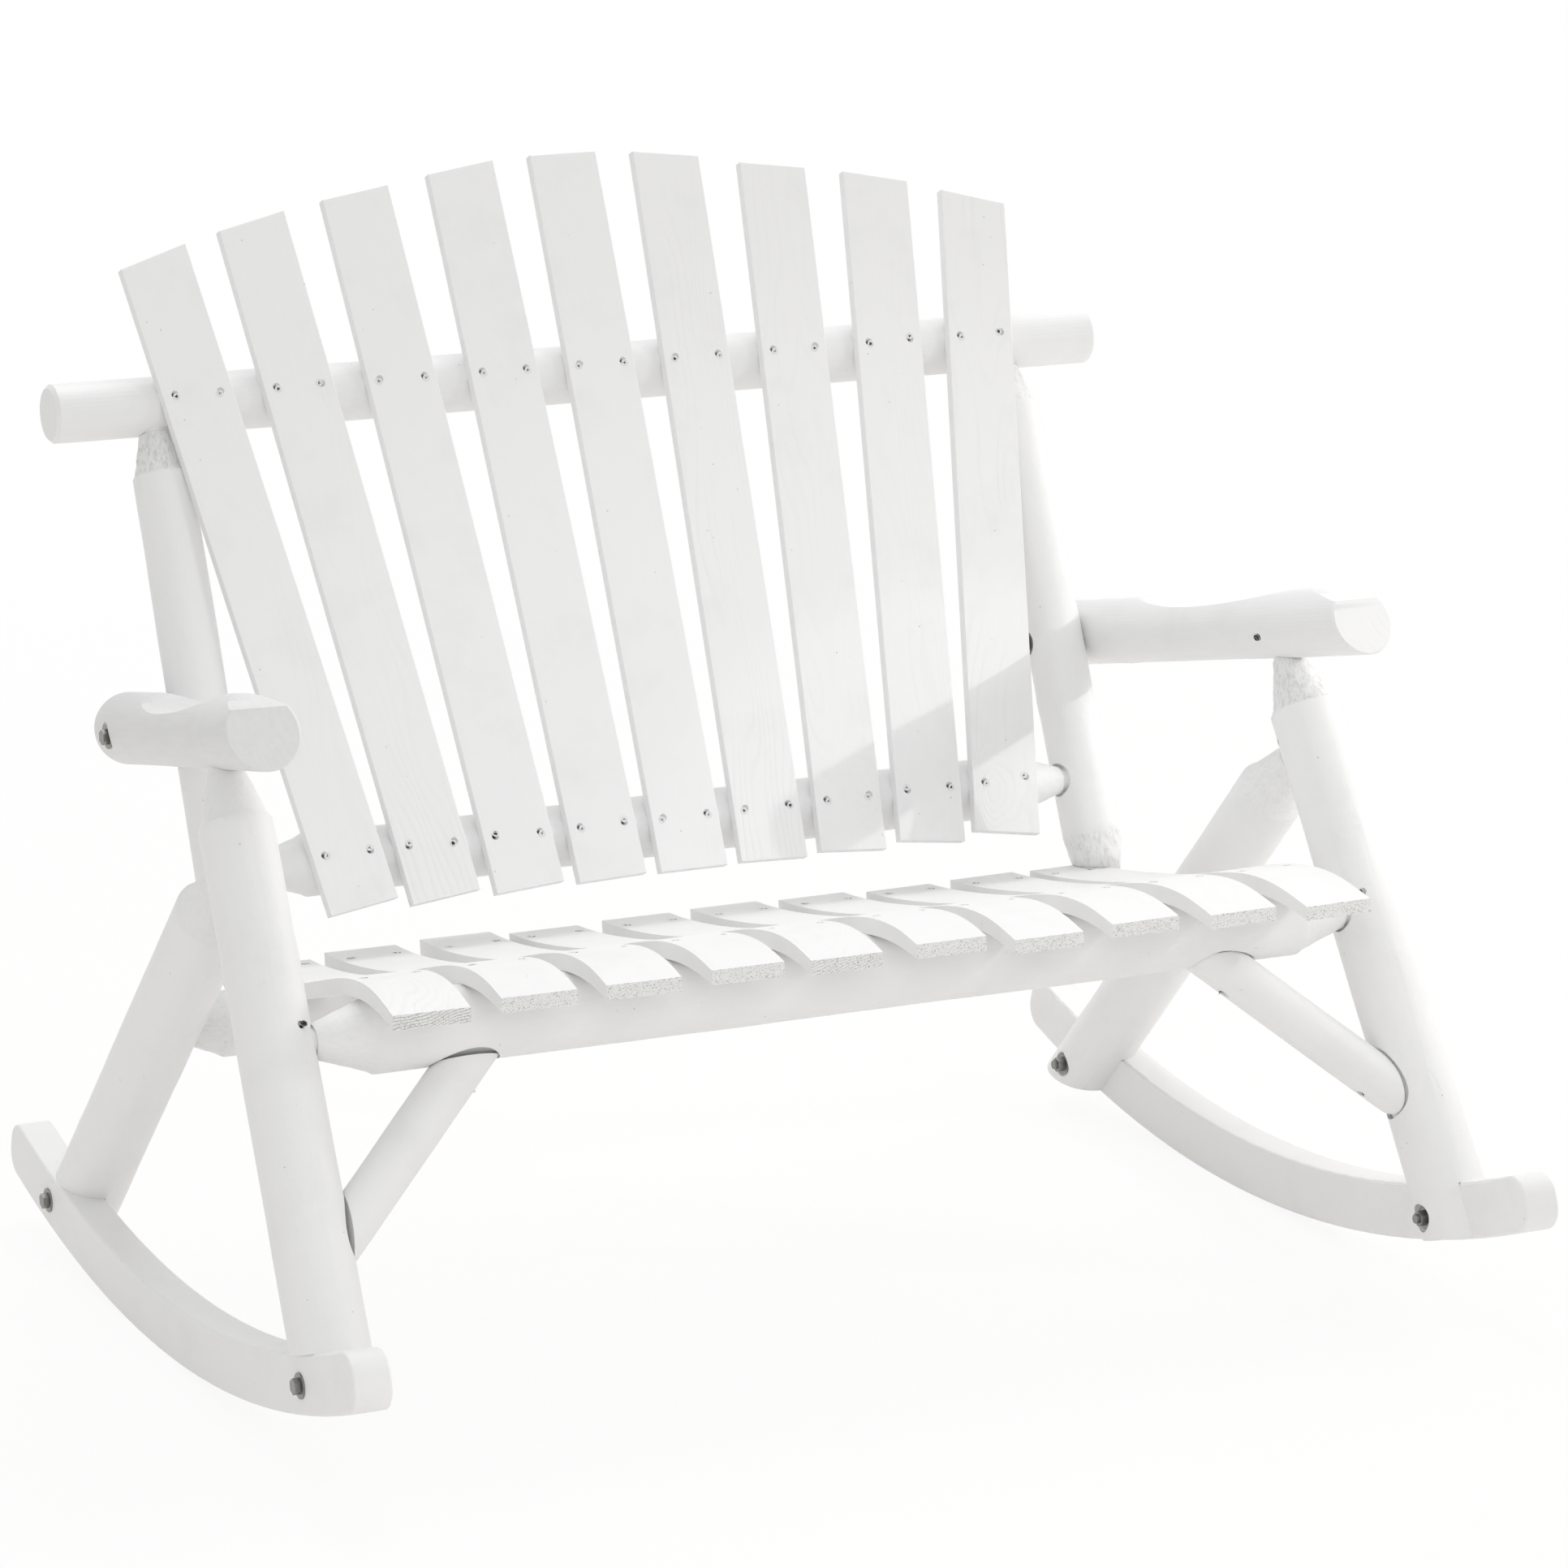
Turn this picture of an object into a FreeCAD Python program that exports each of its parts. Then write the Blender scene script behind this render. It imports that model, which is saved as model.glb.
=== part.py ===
import FreeCAD, Part
import math
import os
from FreeCAD import Vector

os.makedirs("parts", exist_ok=True)

# Rockers: planks sawn to an arc, standing on edge
rocker_inner_face = 599.5
rocker_thickness = 38.0
arc_y = 174.3
arc_z = 1535.0
arc_outer = 1535.0
arc_inner = 1477.0
rocker_front_angle = {-1: 14.9, 1: 16.1}
rocker_rear_angle = {-1: 23.1, 1: 24.0}
rocker_end_round = 24.0
rocker_edge_round = 3.0

# Legs: peeled logs, the front pair leaning back and the rear pair leaning forward
front_leg_foot = Vector(611.3, -120.4, 0.0)
front_leg_axis = Vector(-0.0318, 0.4245, 0.9049)
front_leg_low_radius = 39.0
front_leg_top_radius = 36.5
front_leg_shoulder = 606.0
front_leg_neck = 664.0
front_leg_top = 700.0
rear_leg_foot = Vector(599.2, 773.8, 0.0)
rear_leg_axis = Vector(-0.0077, -0.7778, 0.6285)
rear_leg_radius = 37.8
rear_leg_shoulder = 724.0
rear_leg_neck = 788.0
rear_leg_top = 826.0

# Armrests: the front end is sawn on a slant, the hollow is steep behind and shallow in front
arm_front = Vector(598.5, 26.3, 648.6)
arm_rear = Vector(552.5, 546.0, 601.0)
arm_radius = {-1: 36.8, 1: 35.6}
arm_face_normal = Vector(0.085, -1.0, 0.45)
arm_edge_round = 2.0
arm_facet_along = 72.0
arm_facet_fall = 12.0
scoop_rear_radius = 500.0
scoop_front_radius = 1000.0
scoop_depth = 15.0
scoop_tilt = 6.0
scoop_along = 276.0
arm_cope_clearance = 3.0

# Back posts
post_foot = Vector(493.8, 397.0, 300.0)
post_axis = Vector(-0.0055, 0.3044, 0.9525)
post_radius = 31.5

# Rails
front_rail_y = 38.0
front_rail_z = 349.0
front_rail_radius = 37.8
rear_rail_y = 393.0
rear_rail_z = 313.0
rear_rail_radius = 33.5
top_rail_height = 549.0
top_rail_radius = 30.6
top_rail_half = 600.0
low_rail_height = 57.0
low_rail_radius = 32.4

# Back slats: flat boards fanned out in one leaning plane, tops sawn to an arch
back_y = 384.4
back_z = 415.7
back_lean = 18.51
back_slat_width = 76.2
back_slat_thickness = 11.0
back_slat_chamfer = 0.7
fan_reference = 599.3
back_foot_x = [-368.5, -278.6, -185.2, -92.5, 0.0, 92.5, 185.2, 278.6, 368.5]
back_head_x = [-459.5, -346.6, -230.3, -113.0, 0.0, 113.0, 230.3, 346.6, 459.5]
top_left = [684.8, 718.9, 745.2, 766.0, 780.0, 777.8, 758.6, 741.5, 713.6]
top_right = [708.2, 736.6, 757.4, 777.7, 780.6, 768.5, 748.2, 725.9, 693.4]

# Seat slats: boards sawn to one S curve, fanned out towards the front
seat_slat_width = 77.0
seat_slat_thickness = 17.0
seat_rear_x = [-459.0, -357.0, -248.5, -157.5, -49.0, 54.5, 153.5, 251.5, 356.5, 452.0]
seat_front_x = [-488.0, -375.0, -267.0, -156.0, -52.5, 64.0, 164.0, 276.0, 384.0, 490.0]
seat_rear_y = [415.0, 436.0, 444.0, 424.0, 432.0, 437.0, 429.0, 419.0, 428.0, 427.0]
seat_front_y = [-81.0, -73.0, -74.0, -70.0, -75.0, -69.0, -84.0, -77.0, -83.0, -90.0]
seat_line = [(460.0, 366.4), (393.0, 363.4), (307.0, 366.2), (210.0, 375.8),
             (90.0, 397.3), (20.0, 404.6), (-37.0, 399.0), (-66.0, 390.6), (-100.0, 379.0)]

# Corner braces under the front rail
brace_radius = 24.2
brace_rail_end = Vector(404.0, 31.7, 324.3)
brace_leg_end = Vector(585.0, -42.8, 165.6)
brace_overrun = 30.0

# Sockets: a little wider than what they hold, so that a dark gap shows round it
brace_socket_depth = 5.0
brace_socket_clearance = 2.2
post_mortise_radius = 18.0
post_mortise_floor = 469.0
leg_mortise_radius = 20.0
leg_mortise_floor = 569.0

# Bolts, washers and nuts: 3/8 inch hardware
bolt_radius = 4.76
bolt_hole_radius = 5.0
bolt_head_flats = 14.3
bolt_head_height = 6.2
nut_height = 8.3
washer_radius = 12.7
washer_thickness = 1.7
front_bolt = {-1: (-74.0, 49.0), 1: (-92.0, 50.0)}
rear_bolt = {-1: (648.0, 104.0), 1: (646.0, 103.0)}
front_bolt_seat = {-1: 577.5, 1: 577.5}
rear_bolt_seat = {-1: 571.0, 1: 563.5}
thread_end = 3.5

# Screws
screw_radius = 2.1
screw_head_radius = 3.9
screw_head_height = 2.4
screw_sink = 0.8
back_screw_spread = 25.0
seat_screw_spread = 26.0
rear_screw_limit = 470.0

lean = math.radians(back_lean)


def log_solid(start, axis, profile):
    # A round log: profile is a list of (distance along the axis, radius)
    points = [Vector(0, 0, profile[0][0])]
    for distance, radius in profile:
        points.append(Vector(radius, 0, distance))
    points.append(Vector(0, 0, profile[-1][0]))
    points.append(points[0])
    face = Part.Face(Part.makePolygon(points))
    solid = face.revolve(Vector(0, 0, 0), Vector(0, 0, 1), 360)
    turn = FreeCAD.Rotation(Vector(0, 0, 1), axis)
    solid.Placement = FreeCAD.Placement(start, turn)
    return solid


def mirrored(vector, side):
    return Vector(vector.x * side, vector.y, vector.z)


def drum(radius):
    # A cylinder on the centre line of the rocker arc
    return Part.makeCylinder(radius, 1600, Vector(-800, arc_y, arc_z), Vector(1, 0, 0))


def on_arc(x, radius, angle):
    turn = math.radians(angle)
    return Vector(x, arc_y + radius * math.sin(turn), arc_z - radius * math.cos(turn))


def on_back(across, up, depth):
    # A point of the back: across, up the slat plane, and behind its front face
    y = back_y + up * math.sin(lean) + depth * math.cos(lean)
    z = back_z + up * math.cos(lean) - depth * math.sin(lean)
    return Vector(across, y, z)


def hex_prism(start, axis, flats, height):
    points = []
    for corner in range(7):
        turn = math.radians(60 * corner)
        points.append(Vector(flats / math.sqrt(3) * math.cos(turn), flats / math.sqrt(3) * math.sin(turn), 0))
    prism = Part.Face(Part.makePolygon(points)).extrude(Vector(0, 0, height))
    prism.Placement = FreeCAD.Placement(start, FreeCAD.Rotation(Vector(0, 0, 1), axis))
    return prism


def washer(start, axis):
    outer = Part.makeCylinder(washer_radius, washer_thickness, start, axis)
    inner = Part.makeCylinder(bolt_hole_radius, washer_thickness, start, axis)
    return outer.cut(inner)


def screw(start, axis, length):
    # A countersunk wood screw: start is the middle of its head
    head = screw_head_height
    profile = [(0, screw_head_radius), (head, screw_radius), (length - 6, screw_radius), (length, 0.6)]
    return log_solid(start, axis, profile)


def screw_pocket(start, axis):
    # The countersink above a sunk screw head
    back = Vector(start) - Vector(axis) * 8
    return Part.makeCylinder(screw_head_radius, 8, back, axis)


# Rockers
def make_rocker(side):
    front = -rocker_front_angle[side]
    rear = rocker_rear_angle[side]
    middle = (front + rear) / 2
    x = rocker_inner_face * side
    low = Part.Arc(on_arc(x, arc_outer, front), on_arc(x, arc_outer, middle), on_arc(x, arc_outer, rear))
    high = Part.Arc(on_arc(x, arc_inner, rear), on_arc(x, arc_inner, middle), on_arc(x, arc_inner, front))
    rear_end = Part.makeLine(on_arc(x, arc_outer, rear), on_arc(x, arc_inner, rear))
    front_end = Part.makeLine(on_arc(x, arc_inner, front), on_arc(x, arc_outer, front))
    face = Part.Face(Part.Wire([low.toShape(), rear_end, high.toShape(), front_end]))
    plank = face.extrude(Vector(rocker_thickness * side, 0, 0))
    corners = []
    for edge in plank.Edges:
        first, last = edge.Vertexes[0].Point, edge.Vertexes[-1].Point
        if abs(first.x - last.x) > 1:
            corners.append(edge)
    plank = plank.makeFillet(rocker_end_round, corners)
    rims = []
    for edge in plank.Edges:
        first, last = edge.Vertexes[0].Point, edge.Vertexes[-1].Point
        if abs(first.x - last.x) < 1:
            rims.append(edge)
    plank = plank.makeFillet(rocker_edge_round, rims)
    for y, z in (front_bolt[side], rear_bolt[side]):
        hole = Part.makeCylinder(bolt_hole_radius, 200, Vector(500 * side, y, z), Vector(side, 0, 0))
        plank = plank.cut(hole)
    return plank


# Legs are half lapped: the outer half stands on the rocker, the inner half runs down beside it
def lap_onto_rocker(leg, side):
    inner_space = Part.makeBox(rocker_inner_face, 3000, 3000, Vector(0, -1200, -600))
    outer_space = Part.makeBox(400, 3000, 3000, Vector(rocker_inner_face, -1200, -600))
    if side < 0:
        inner_space = inner_space.mirror(Vector(0, 0, 0), Vector(1, 0, 0))
        outer_space = outer_space.mirror(Vector(0, 0, 0), Vector(1, 0, 0))
    tongue = leg.common(inner_space).common(drum(arc_outer - 3))
    stand = leg.common(outer_space).common(drum(arc_inner))
    return tongue.fuse(stand).removeSplitter()


def bolt_seat(leg, side, place, seat):
    # The flat spot under the washer, and the bolt hole
    y, z = place
    flat = Part.makeCylinder(washer_radius + 2, 100, Vector((seat - 100) * side, y, z), Vector(side, 0, 0))
    hole = Part.makeCylinder(bolt_hole_radius, 200, Vector(500 * side, y, z), Vector(side, 0, 0))
    return leg.cut(flat).cut(hole)


def make_front_leg(side):
    profile = [(-40, front_leg_low_radius), (front_leg_shoulder, front_leg_top_radius)]
    profile.append((front_leg_shoulder + 6, front_leg_top_radius - 3.5))
    profile.append((front_leg_neck, 18.0))
    profile.append((front_leg_neck, 16.0))
    profile.append((front_leg_top, 16.0))
    leg = log_solid(mirrored(front_leg_foot, side), mirrored(front_leg_axis, side), profile)
    leg = lap_onto_rocker(leg, side)
    return bolt_seat(leg, side, front_bolt[side], front_bolt_seat[side])


def make_rear_leg(side):
    profile = [(-20, rear_leg_radius), (rear_leg_shoulder, rear_leg_radius - 0.6)]
    profile.append((rear_leg_shoulder + 6, rear_leg_radius - 4.0))
    profile.append((rear_leg_neck, 18.0))
    profile.append((rear_leg_neck, 15.0))
    profile.append((rear_leg_top, 15.0))
    leg = log_solid(mirrored(rear_leg_foot, side), mirrored(rear_leg_axis, side), profile)
    leg = lap_onto_rocker(leg, side)
    return bolt_seat(leg, side, rear_bolt[side], rear_bolt_seat[side])


# Armrests: short logs with a hollow hewn in the top for the forearm
def make_armrest(side):
    front = mirrored(arm_front, side)
    rear = mirrored(arm_rear, side)
    axis = (rear - front).normalize()
    length = arm_front.distanceToPoint(arm_rear)
    radius = arm_radius[side]
    arm = log_solid(front, axis, [(-40, radius), (length - 3, radius), (length, radius - 3)])
    arm = arm.cut(half_space(front, mirrored(arm_face_normal, side)))
    rim = []
    for edge in arm.Edges:
        if edge.CenterOfMass.distanceToPoint(front) < 8:
            rim.append(edge)
    arm = arm.makeChamfer(arm_edge_round, rim)
    arm = arm.cut(scoop(side, front, axis, radius))

    # A flat hewn on the top of the nose, falling towards the front
    sideways = axis.cross(Vector(0, 0, 1)).normalize()
    upward = sideways.cross(axis).normalize()
    fall = math.radians(arm_facet_fall)
    facet_normal = upward * math.cos(fall) - axis * math.sin(fall)
    return arm.cut(half_space(front + axis * arm_facet_along + upward * radius, facet_normal))


def half_space(point, normal):
    # A thick disc that starts at a point and fills what lies towards the normal
    return Part.makeCylinder(90, 90, point, normal)


def scoop(side, front, axis, radius):
    # The hollow: two tangent arcs along the arm, drawn straight across it
    tilt = math.radians(scoop_tilt)
    outward = Vector(side * math.sin(tilt), 0, math.cos(tilt))
    across = axis.cross(outward).normalize()
    upward = across.cross(axis).normalize()
    lowest = front + axis * scoop_along + upward * (radius - scoop_depth)
    outline = []
    for reach, bend in ((-190.0, scoop_front_radius), (150.0, scoop_rear_radius)):
        points = []
        for part in (0.0, 0.5, 1.0):
            turn = math.asin(reach * part / bend)
            points.append(lowest + axis * bend * math.sin(turn) + upward * bend * (1 - math.cos(turn)))
        outline.append(points)
    front_arc = Part.Arc(outline[0][2], outline[0][1], lowest).toShape()
    rear_arc = Part.Arc(lowest, outline[1][1], outline[1][2]).toShape()
    high = upward * 60
    lid = Part.makePolygon([outline[1][2], outline[1][2] + high, outline[0][2] + high, outline[0][2]])
    face = Part.Face(Part.Wire([front_arc, rear_arc] + lid.Edges))
    face.translate(across * -60)
    return face.extrude(across * 120)


# Back posts stand in the rear rail and carry the top rail
def make_post(side):
    profile = [(22, 15.0), (47, 15.0), (47, 19.5), (60, 24.2), (74, 28.0), (88, 30.6), (98, post_radius)]
    profile.append((580, post_radius - 1.0))
    profile.append((586, post_radius - 3.5))
    profile.append((624, 18.0))
    profile.append((624, 15.0))
    profile.append((650, 15.0))
    return log_solid(mirrored(post_foot, side), mirrored(post_axis, side), profile)


def cross_rail(y, z, radius, shoulder, neck, neck_radius, tenon_radius, end):
    # A rail with both ends hewn to a cone and a round tenon
    half = [(shoulder - 6, radius), (shoulder, radius - 3), (neck, neck_radius)]
    half += [(neck, tenon_radius), (end, tenon_radius)]
    profile = [(-distance, r) for distance, r in reversed(half)] + half
    return log_solid(Vector(0, y, z), Vector(1, 0, 0), profile)


def make_top_rail():
    centre = on_back(0, top_rail_height, back_slat_thickness + top_rail_radius)
    half = top_rail_half
    profile = [(-half, top_rail_radius - 4), (4 - half, top_rail_radius)]
    profile += [(half - 4, top_rail_radius), (half, top_rail_radius - 4)]
    return log_solid(centre, Vector(1, 0, 0), profile)


def make_low_rail():
    centre = on_back(0, low_rail_height, back_slat_thickness + low_rail_radius)
    return cross_rail(centre.y, centre.z, low_rail_radius, 416, 462, 15, 12.5, 482)


# Corner braces: thin logs whose coped ends sit in shallow round sockets in the rail and the leg
def brace_log(side, radius):
    start = mirrored(brace_rail_end, side)
    end = mirrored(brace_leg_end, side)
    length = start.distanceToPoint(end)
    profile = [(-brace_overrun, radius), (length + brace_overrun, radius)]
    return log_solid(start, (end - start).normalize(), profile)


def rail_core():
    radius = front_rail_radius - brace_socket_depth
    return Part.makeCylinder(radius, 1000, Vector(-500, front_rail_y, front_rail_z), Vector(1, 0, 0))


def leg_core(side):
    profile = [(-40, front_leg_low_radius - brace_socket_depth)]
    profile.append((front_leg_shoulder, front_leg_top_radius - brace_socket_depth))
    return log_solid(mirrored(front_leg_foot, side), mirrored(front_leg_axis, side), profile)


# Back slats
def slat_across(number, up):
    foot = back_foot_x[number]
    head = back_head_x[number]
    return foot + (head - foot) * up / fan_reference


def slat_corner(number, edge, up):
    # A corner on the left (-1) or right (1) edge of a slat at a given height
    fan = math.atan2(back_head_x[number] - back_foot_x[number], fan_reference)
    across = slat_across(number, up) + edge * back_slat_width / 2 / math.cos(fan)
    return on_back(across, up, 0)


def make_back_slat(number):
    fan = math.atan2(back_head_x[number] - back_foot_x[number], fan_reference)
    drop = back_slat_width / 2 * math.sin(fan)
    corners = [slat_corner(number, -1, drop), slat_corner(number, 1, -drop)]
    corners.append(slat_corner(number, 1, top_right[number]))
    corners.append(slat_corner(number, -1, top_left[number]))
    corners.append(corners[0])
    face = Part.Face(Part.makePolygon(corners))
    behind = on_back(0, 0, back_slat_thickness) - on_back(0, 0, 0)
    board = face.extrude(behind)
    front_edges = []
    for edge in board.Edges:
        if board_edge_in_front(edge):
            front_edges.append(edge)
    return board.makeChamfer(back_slat_chamfer, front_edges)


def board_edge_in_front(edge):
    normal = on_back(0, 0, 1) - on_back(0, 0, 0)
    for vertex in edge.Vertexes:
        if abs((vertex.Point - on_back(0, 0, 0)).dot(normal)) > 0.1:
            return False
    return True


def back_slat_screws(number):
    into = (on_back(0, 0, 1) - on_back(0, 0, 0)).normalize()
    found = []
    for height in (low_rail_height, top_rail_height):
        for spread in (-back_screw_spread, back_screw_spread):
            across = slat_across(number, height) + spread
            found.append((on_back(across, height, screw_sink), into, 34.0))
    return found


# Seat slats
def seat_curve(points):
    curve = Part.BSplineCurve()
    curve.interpolate([Vector(0, y, z) for y, z in points])
    return curve


def seat_height(y):
    # The height of the top of the seat at a given depth
    line = Part.makeLine(Vector(0, y, 0), Vector(0, y, 800))
    found = seat_curve(seat_line).toShape().distToShape(line)
    return found[1][0][0].z


def make_seat_slat(number):
    under = []
    for index, (y, z) in enumerate(seat_line):
        before = seat_line[max(index - 1, 0)]
        after = seat_line[min(index + 1, len(seat_line) - 1)]
        run = Vector(0, after[0] - before[0], after[1] - before[1]).normalize()
        under.append((y + run.z * seat_slat_thickness, z - abs(run.y) * seat_slat_thickness))
    top = seat_curve(seat_line).toShape()
    bottom = seat_curve(under).toShape()
    rear_line = Part.makeLine(top.Vertexes[0].Point, bottom.Vertexes[0].Point)
    front_line = Part.makeLine(top.Vertexes[-1].Point, bottom.Vertexes[-1].Point)
    face = Part.Face(Part.Wire([top, front_line, bottom, rear_line]))
    board = face.extrude(Vector(seat_slat_width, 0, 0))
    board.translate(Vector(-seat_slat_width / 2, 0, 0))
    span = seat_rear_y[number] - seat_front_y[number]
    window = Part.makeBox(seat_slat_width + 2, span, 400, Vector(-seat_slat_width / 2 - 1, seat_front_y[number], 200))
    board = board.common(window)
    fan = math.degrees(math.atan2(seat_front_x[number] - seat_rear_x[number], span))
    board.rotate(Vector(0, seat_rear_y[number], 0), Vector(0, 0, 1), fan)
    board.translate(Vector(seat_rear_x[number], 0, 0))
    return board


def seat_slat_screws(number):
    found = []
    for y in (front_rail_y, rear_rail_y):
        part = (seat_rear_y[number] - y) / (seat_rear_y[number] - seat_front_y[number])
        across = seat_rear_x[number] + (seat_front_x[number] - seat_rear_x[number]) * part
        for x in (across - seat_screw_spread, across + seat_screw_spread):
            if y == rear_rail_y:
                # The outer screws keep clear of the feet of the back posts
                x = max(-rear_screw_limit, min(rear_screw_limit, x))
            top = seat_height(y) - screw_sink
            found.append((Vector(x, y, top), Vector(0, 0, -1), 42.0))
    return found


# Round pieces first, then the sockets their tenons sit in
nodes = {}
for side, word in ((-1, "left"), (1, "right")):
    nodes["rocker_" + word] = make_rocker(side)
    nodes["front_leg_" + word] = make_front_leg(side)
    nodes["rear_leg_" + word] = make_rear_leg(side)
    nodes["armrest_" + word] = make_armrest(side)
    nodes["back_post_" + word] = make_post(side)
    nodes["corner_brace_" + word] = brace_log(side, brace_radius).cut(rail_core()).cut(leg_core(side))
nodes["top_rail"] = make_top_rail()
nodes["lower_back_rail"] = make_low_rail()
nodes["front_seat_rail"] = cross_rail(front_rail_y, front_rail_z, front_rail_radius, 512, 564, 17, 14, 590)
nodes["rear_seat_rail"] = cross_rail(rear_rail_y, rear_rail_z, rear_rail_radius, 534, 562, 19, 14, 584)

for side, word in ((-1, "left"), (1, "right")):
    post = nodes["back_post_" + word]
    front_leg = nodes["front_leg_" + word]
    rear_leg = nodes["rear_leg_" + word]
    nodes["top_rail"] = nodes["top_rail"].cut(post)
    nodes["rear_seat_rail"] = nodes["rear_seat_rail"].cut(post)

    # The arm is coped to a wider curve than the post, so it bears on one line and gapes beside it
    cope_foot = mirrored(post_foot - Vector(arm_cope_clearance, 0, 0), side)
    cope = log_solid(cope_foot, mirrored(post_axis, side), [(100, post_radius + 2.3), (500, post_radius + 2.3)])
    nodes["armrest_" + word] = nodes["armrest_" + word].cut(front_leg).cut(cope).cut(post)

    low_rail = nodes["lower_back_rail"]
    rail_line = Vector(0, low_rail.CenterOfMass.y, low_rail.CenterOfMass.z)
    mortise = Part.makeCylinder(post_mortise_radius, post_mortise_floor, rail_line, Vector(side, 0, 0))
    nodes["back_post_" + word] = post.cut(mortise).cut(low_rail)

    rail_line = Vector(0, front_rail_y, front_rail_z)
    mortise = Part.makeCylinder(leg_mortise_radius, leg_mortise_floor, rail_line, Vector(side, 0, 0))
    brace_socket = brace_log(side, brace_radius + brace_socket_clearance)
    front_leg = front_leg.cut(mortise).cut(brace_socket.cut(leg_core(side)))
    nodes["front_leg_" + word] = front_leg.cut(rear_leg).cut(nodes["front_seat_rail"])
    nodes["front_seat_rail"] = nodes["front_seat_rail"].cut(brace_socket.cut(rail_core()))
    nodes["rear_leg_" + word] = rear_leg.cut(nodes["rear_seat_rail"])

# Back slats and their screws
groups = {"back_slat_screws": [], "seat_slat_screws": [], "joint_screws": [], "brace_screws": []}
for number in range(len(back_foot_x)):
    board = make_back_slat(number)
    for place, into, length in back_slat_screws(number):
        one = screw(place, into, length)
        board = board.cut(one).cut(screw_pocket(place, into))
        rail = "top_rail" if place.z > 700 else "lower_back_rail"
        nodes[rail] = nodes[rail].cut(one)
        groups["back_slat_screws"].append(one)
    nodes["back_slat_%d" % (number + 1)] = board

# Seat slats: bedded on the rails, the outer two notched round the back posts
for number in range(len(seat_rear_x)):
    board = make_seat_slat(number)
    board = board.cut(nodes["front_seat_rail"]).cut(nodes["rear_seat_rail"])
    for side in (-1, 1):
        notch = log_solid(mirrored(post_foot, side), mirrored(post_axis, side), [(0, 27.0), (200, 27.0)])
        board = board.cut(notch)
    for place, into, length in seat_slat_screws(number):
        one = screw(place, into, length)
        board = board.cut(one).cut(screw_pocket(place, into))
        rail = "front_seat_rail" if place.y < 200 else "rear_seat_rail"
        nodes[rail] = nodes[rail].cut(one)
        groups["seat_slat_screws"].append(one)
    nodes["seat_slat_%d" % (number + 1)] = board


def drive(place, aim, length, sink, group, pieces):
    # One screw through the named pieces, from a point on the surface towards another
    into = (aim - place).normalize()
    start = place + into * sink
    one = screw(start, into, length)
    nodes[pieces[0]] = nodes[pieces[0]].cut(screw_pocket(start, into))
    for piece in pieces:
        nodes[piece] = nodes[piece].cut(one)
    groups[group].append(one)


def surface_point(axis_point, towards, radius):
    return axis_point + Vector(towards).normalize() * radius


# Screws that pin the tenons: front rail in the front legs, rear legs in the front legs, arms on the legs
for side, word in ((-1, "left"), (1, "right")):
    foot = mirrored(front_leg_foot, side)
    axis = mirrored(front_leg_axis, side)
    face = surface_point(foot + axis * 395, Vector(-0.45 * side, -0.8, 0.35), 37.3)
    drive(face, Vector(582 * side, front_rail_y, front_rail_z), 48.0, screw_sink, "joint_screws",
          ["front_leg_" + word, "front_seat_rail"])
    face = surface_point(foot + axis * 567, Vector(-0.85 * side, 0.45, 0.1), 36.6)
    drive(face, foot + axis * 577, 50.0, screw_sink, "joint_screws",
          ["front_leg_" + word, "rear_leg_" + word])
    arm_axis = (mirrored(arm_rear, side) - mirrored(arm_front, side)).normalize()
    face = surface_point(mirrored(arm_front, side) + arm_axis * 134, Vector(-0.95 * side, 0, -0.31), arm_radius[side])
    drive(face, foot + axis * 703, 44.0, 1.6, "joint_screws",
          ["armrest_" + word, "front_leg_" + word])

    # Two screws in the underside of each brace, one up into the rail and one into the leg
    low = mirrored(brace_leg_end, side)
    high = mirrored(brace_rail_end, side)
    run = (low - high).normalize()
    under = Vector(-0.69 * side, -0.183, -0.7)
    face = surface_point(high + run * 38, under, brace_radius)
    drive(face, Vector(404 * side, front_rail_y, front_rail_z), 60.0, 3.4, "brace_screws",
          ["corner_brace_" + word, "front_seat_rail"])
    face = surface_point(high + run * 212, under, brace_radius)
    drive(face, foot + axis * 199, 60.0, 3.0, "brace_screws",
          ["corner_brace_" + word, "front_leg_" + word])

# Rocker hardware: hex bolts from outside, washers, and nuts on the inner side of the legs
hardware = {"rocker_bolts": [], "rocker_washers": [], "rocker_nuts": []}
outer_face = rocker_inner_face + rocker_thickness
for side, word in ((-1, "left"), (1, "right")):
    for (y, z), seat in ((front_bolt[side], front_bolt_seat[side]), (rear_bolt[side], rear_bolt_seat[side])):
        inward = Vector(-side, 0, 0)
        head_side = Vector((outer_face + washer_thickness) * side, y, z)
        head = hex_prism(head_side, Vector(side, 0, 0), bolt_head_flats, bolt_head_height)
        length = outer_face + washer_thickness - seat + washer_thickness + nut_height + thread_end
        shank = Part.makeCylinder(bolt_radius, length, head_side, inward)
        hardware["rocker_bolts"].append(head.fuse(shank))
        hardware["rocker_washers"].append(washer(head_side, inward))
        hardware["rocker_washers"].append(washer(Vector(seat * side, y, z), inward))
        nut_start = Vector((seat - washer_thickness) * side, y, z)
        nut = hex_prism(nut_start, inward, bolt_head_flats, nut_height)
        hardware["rocker_nuts"].append(nut.cut(shank))

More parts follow.
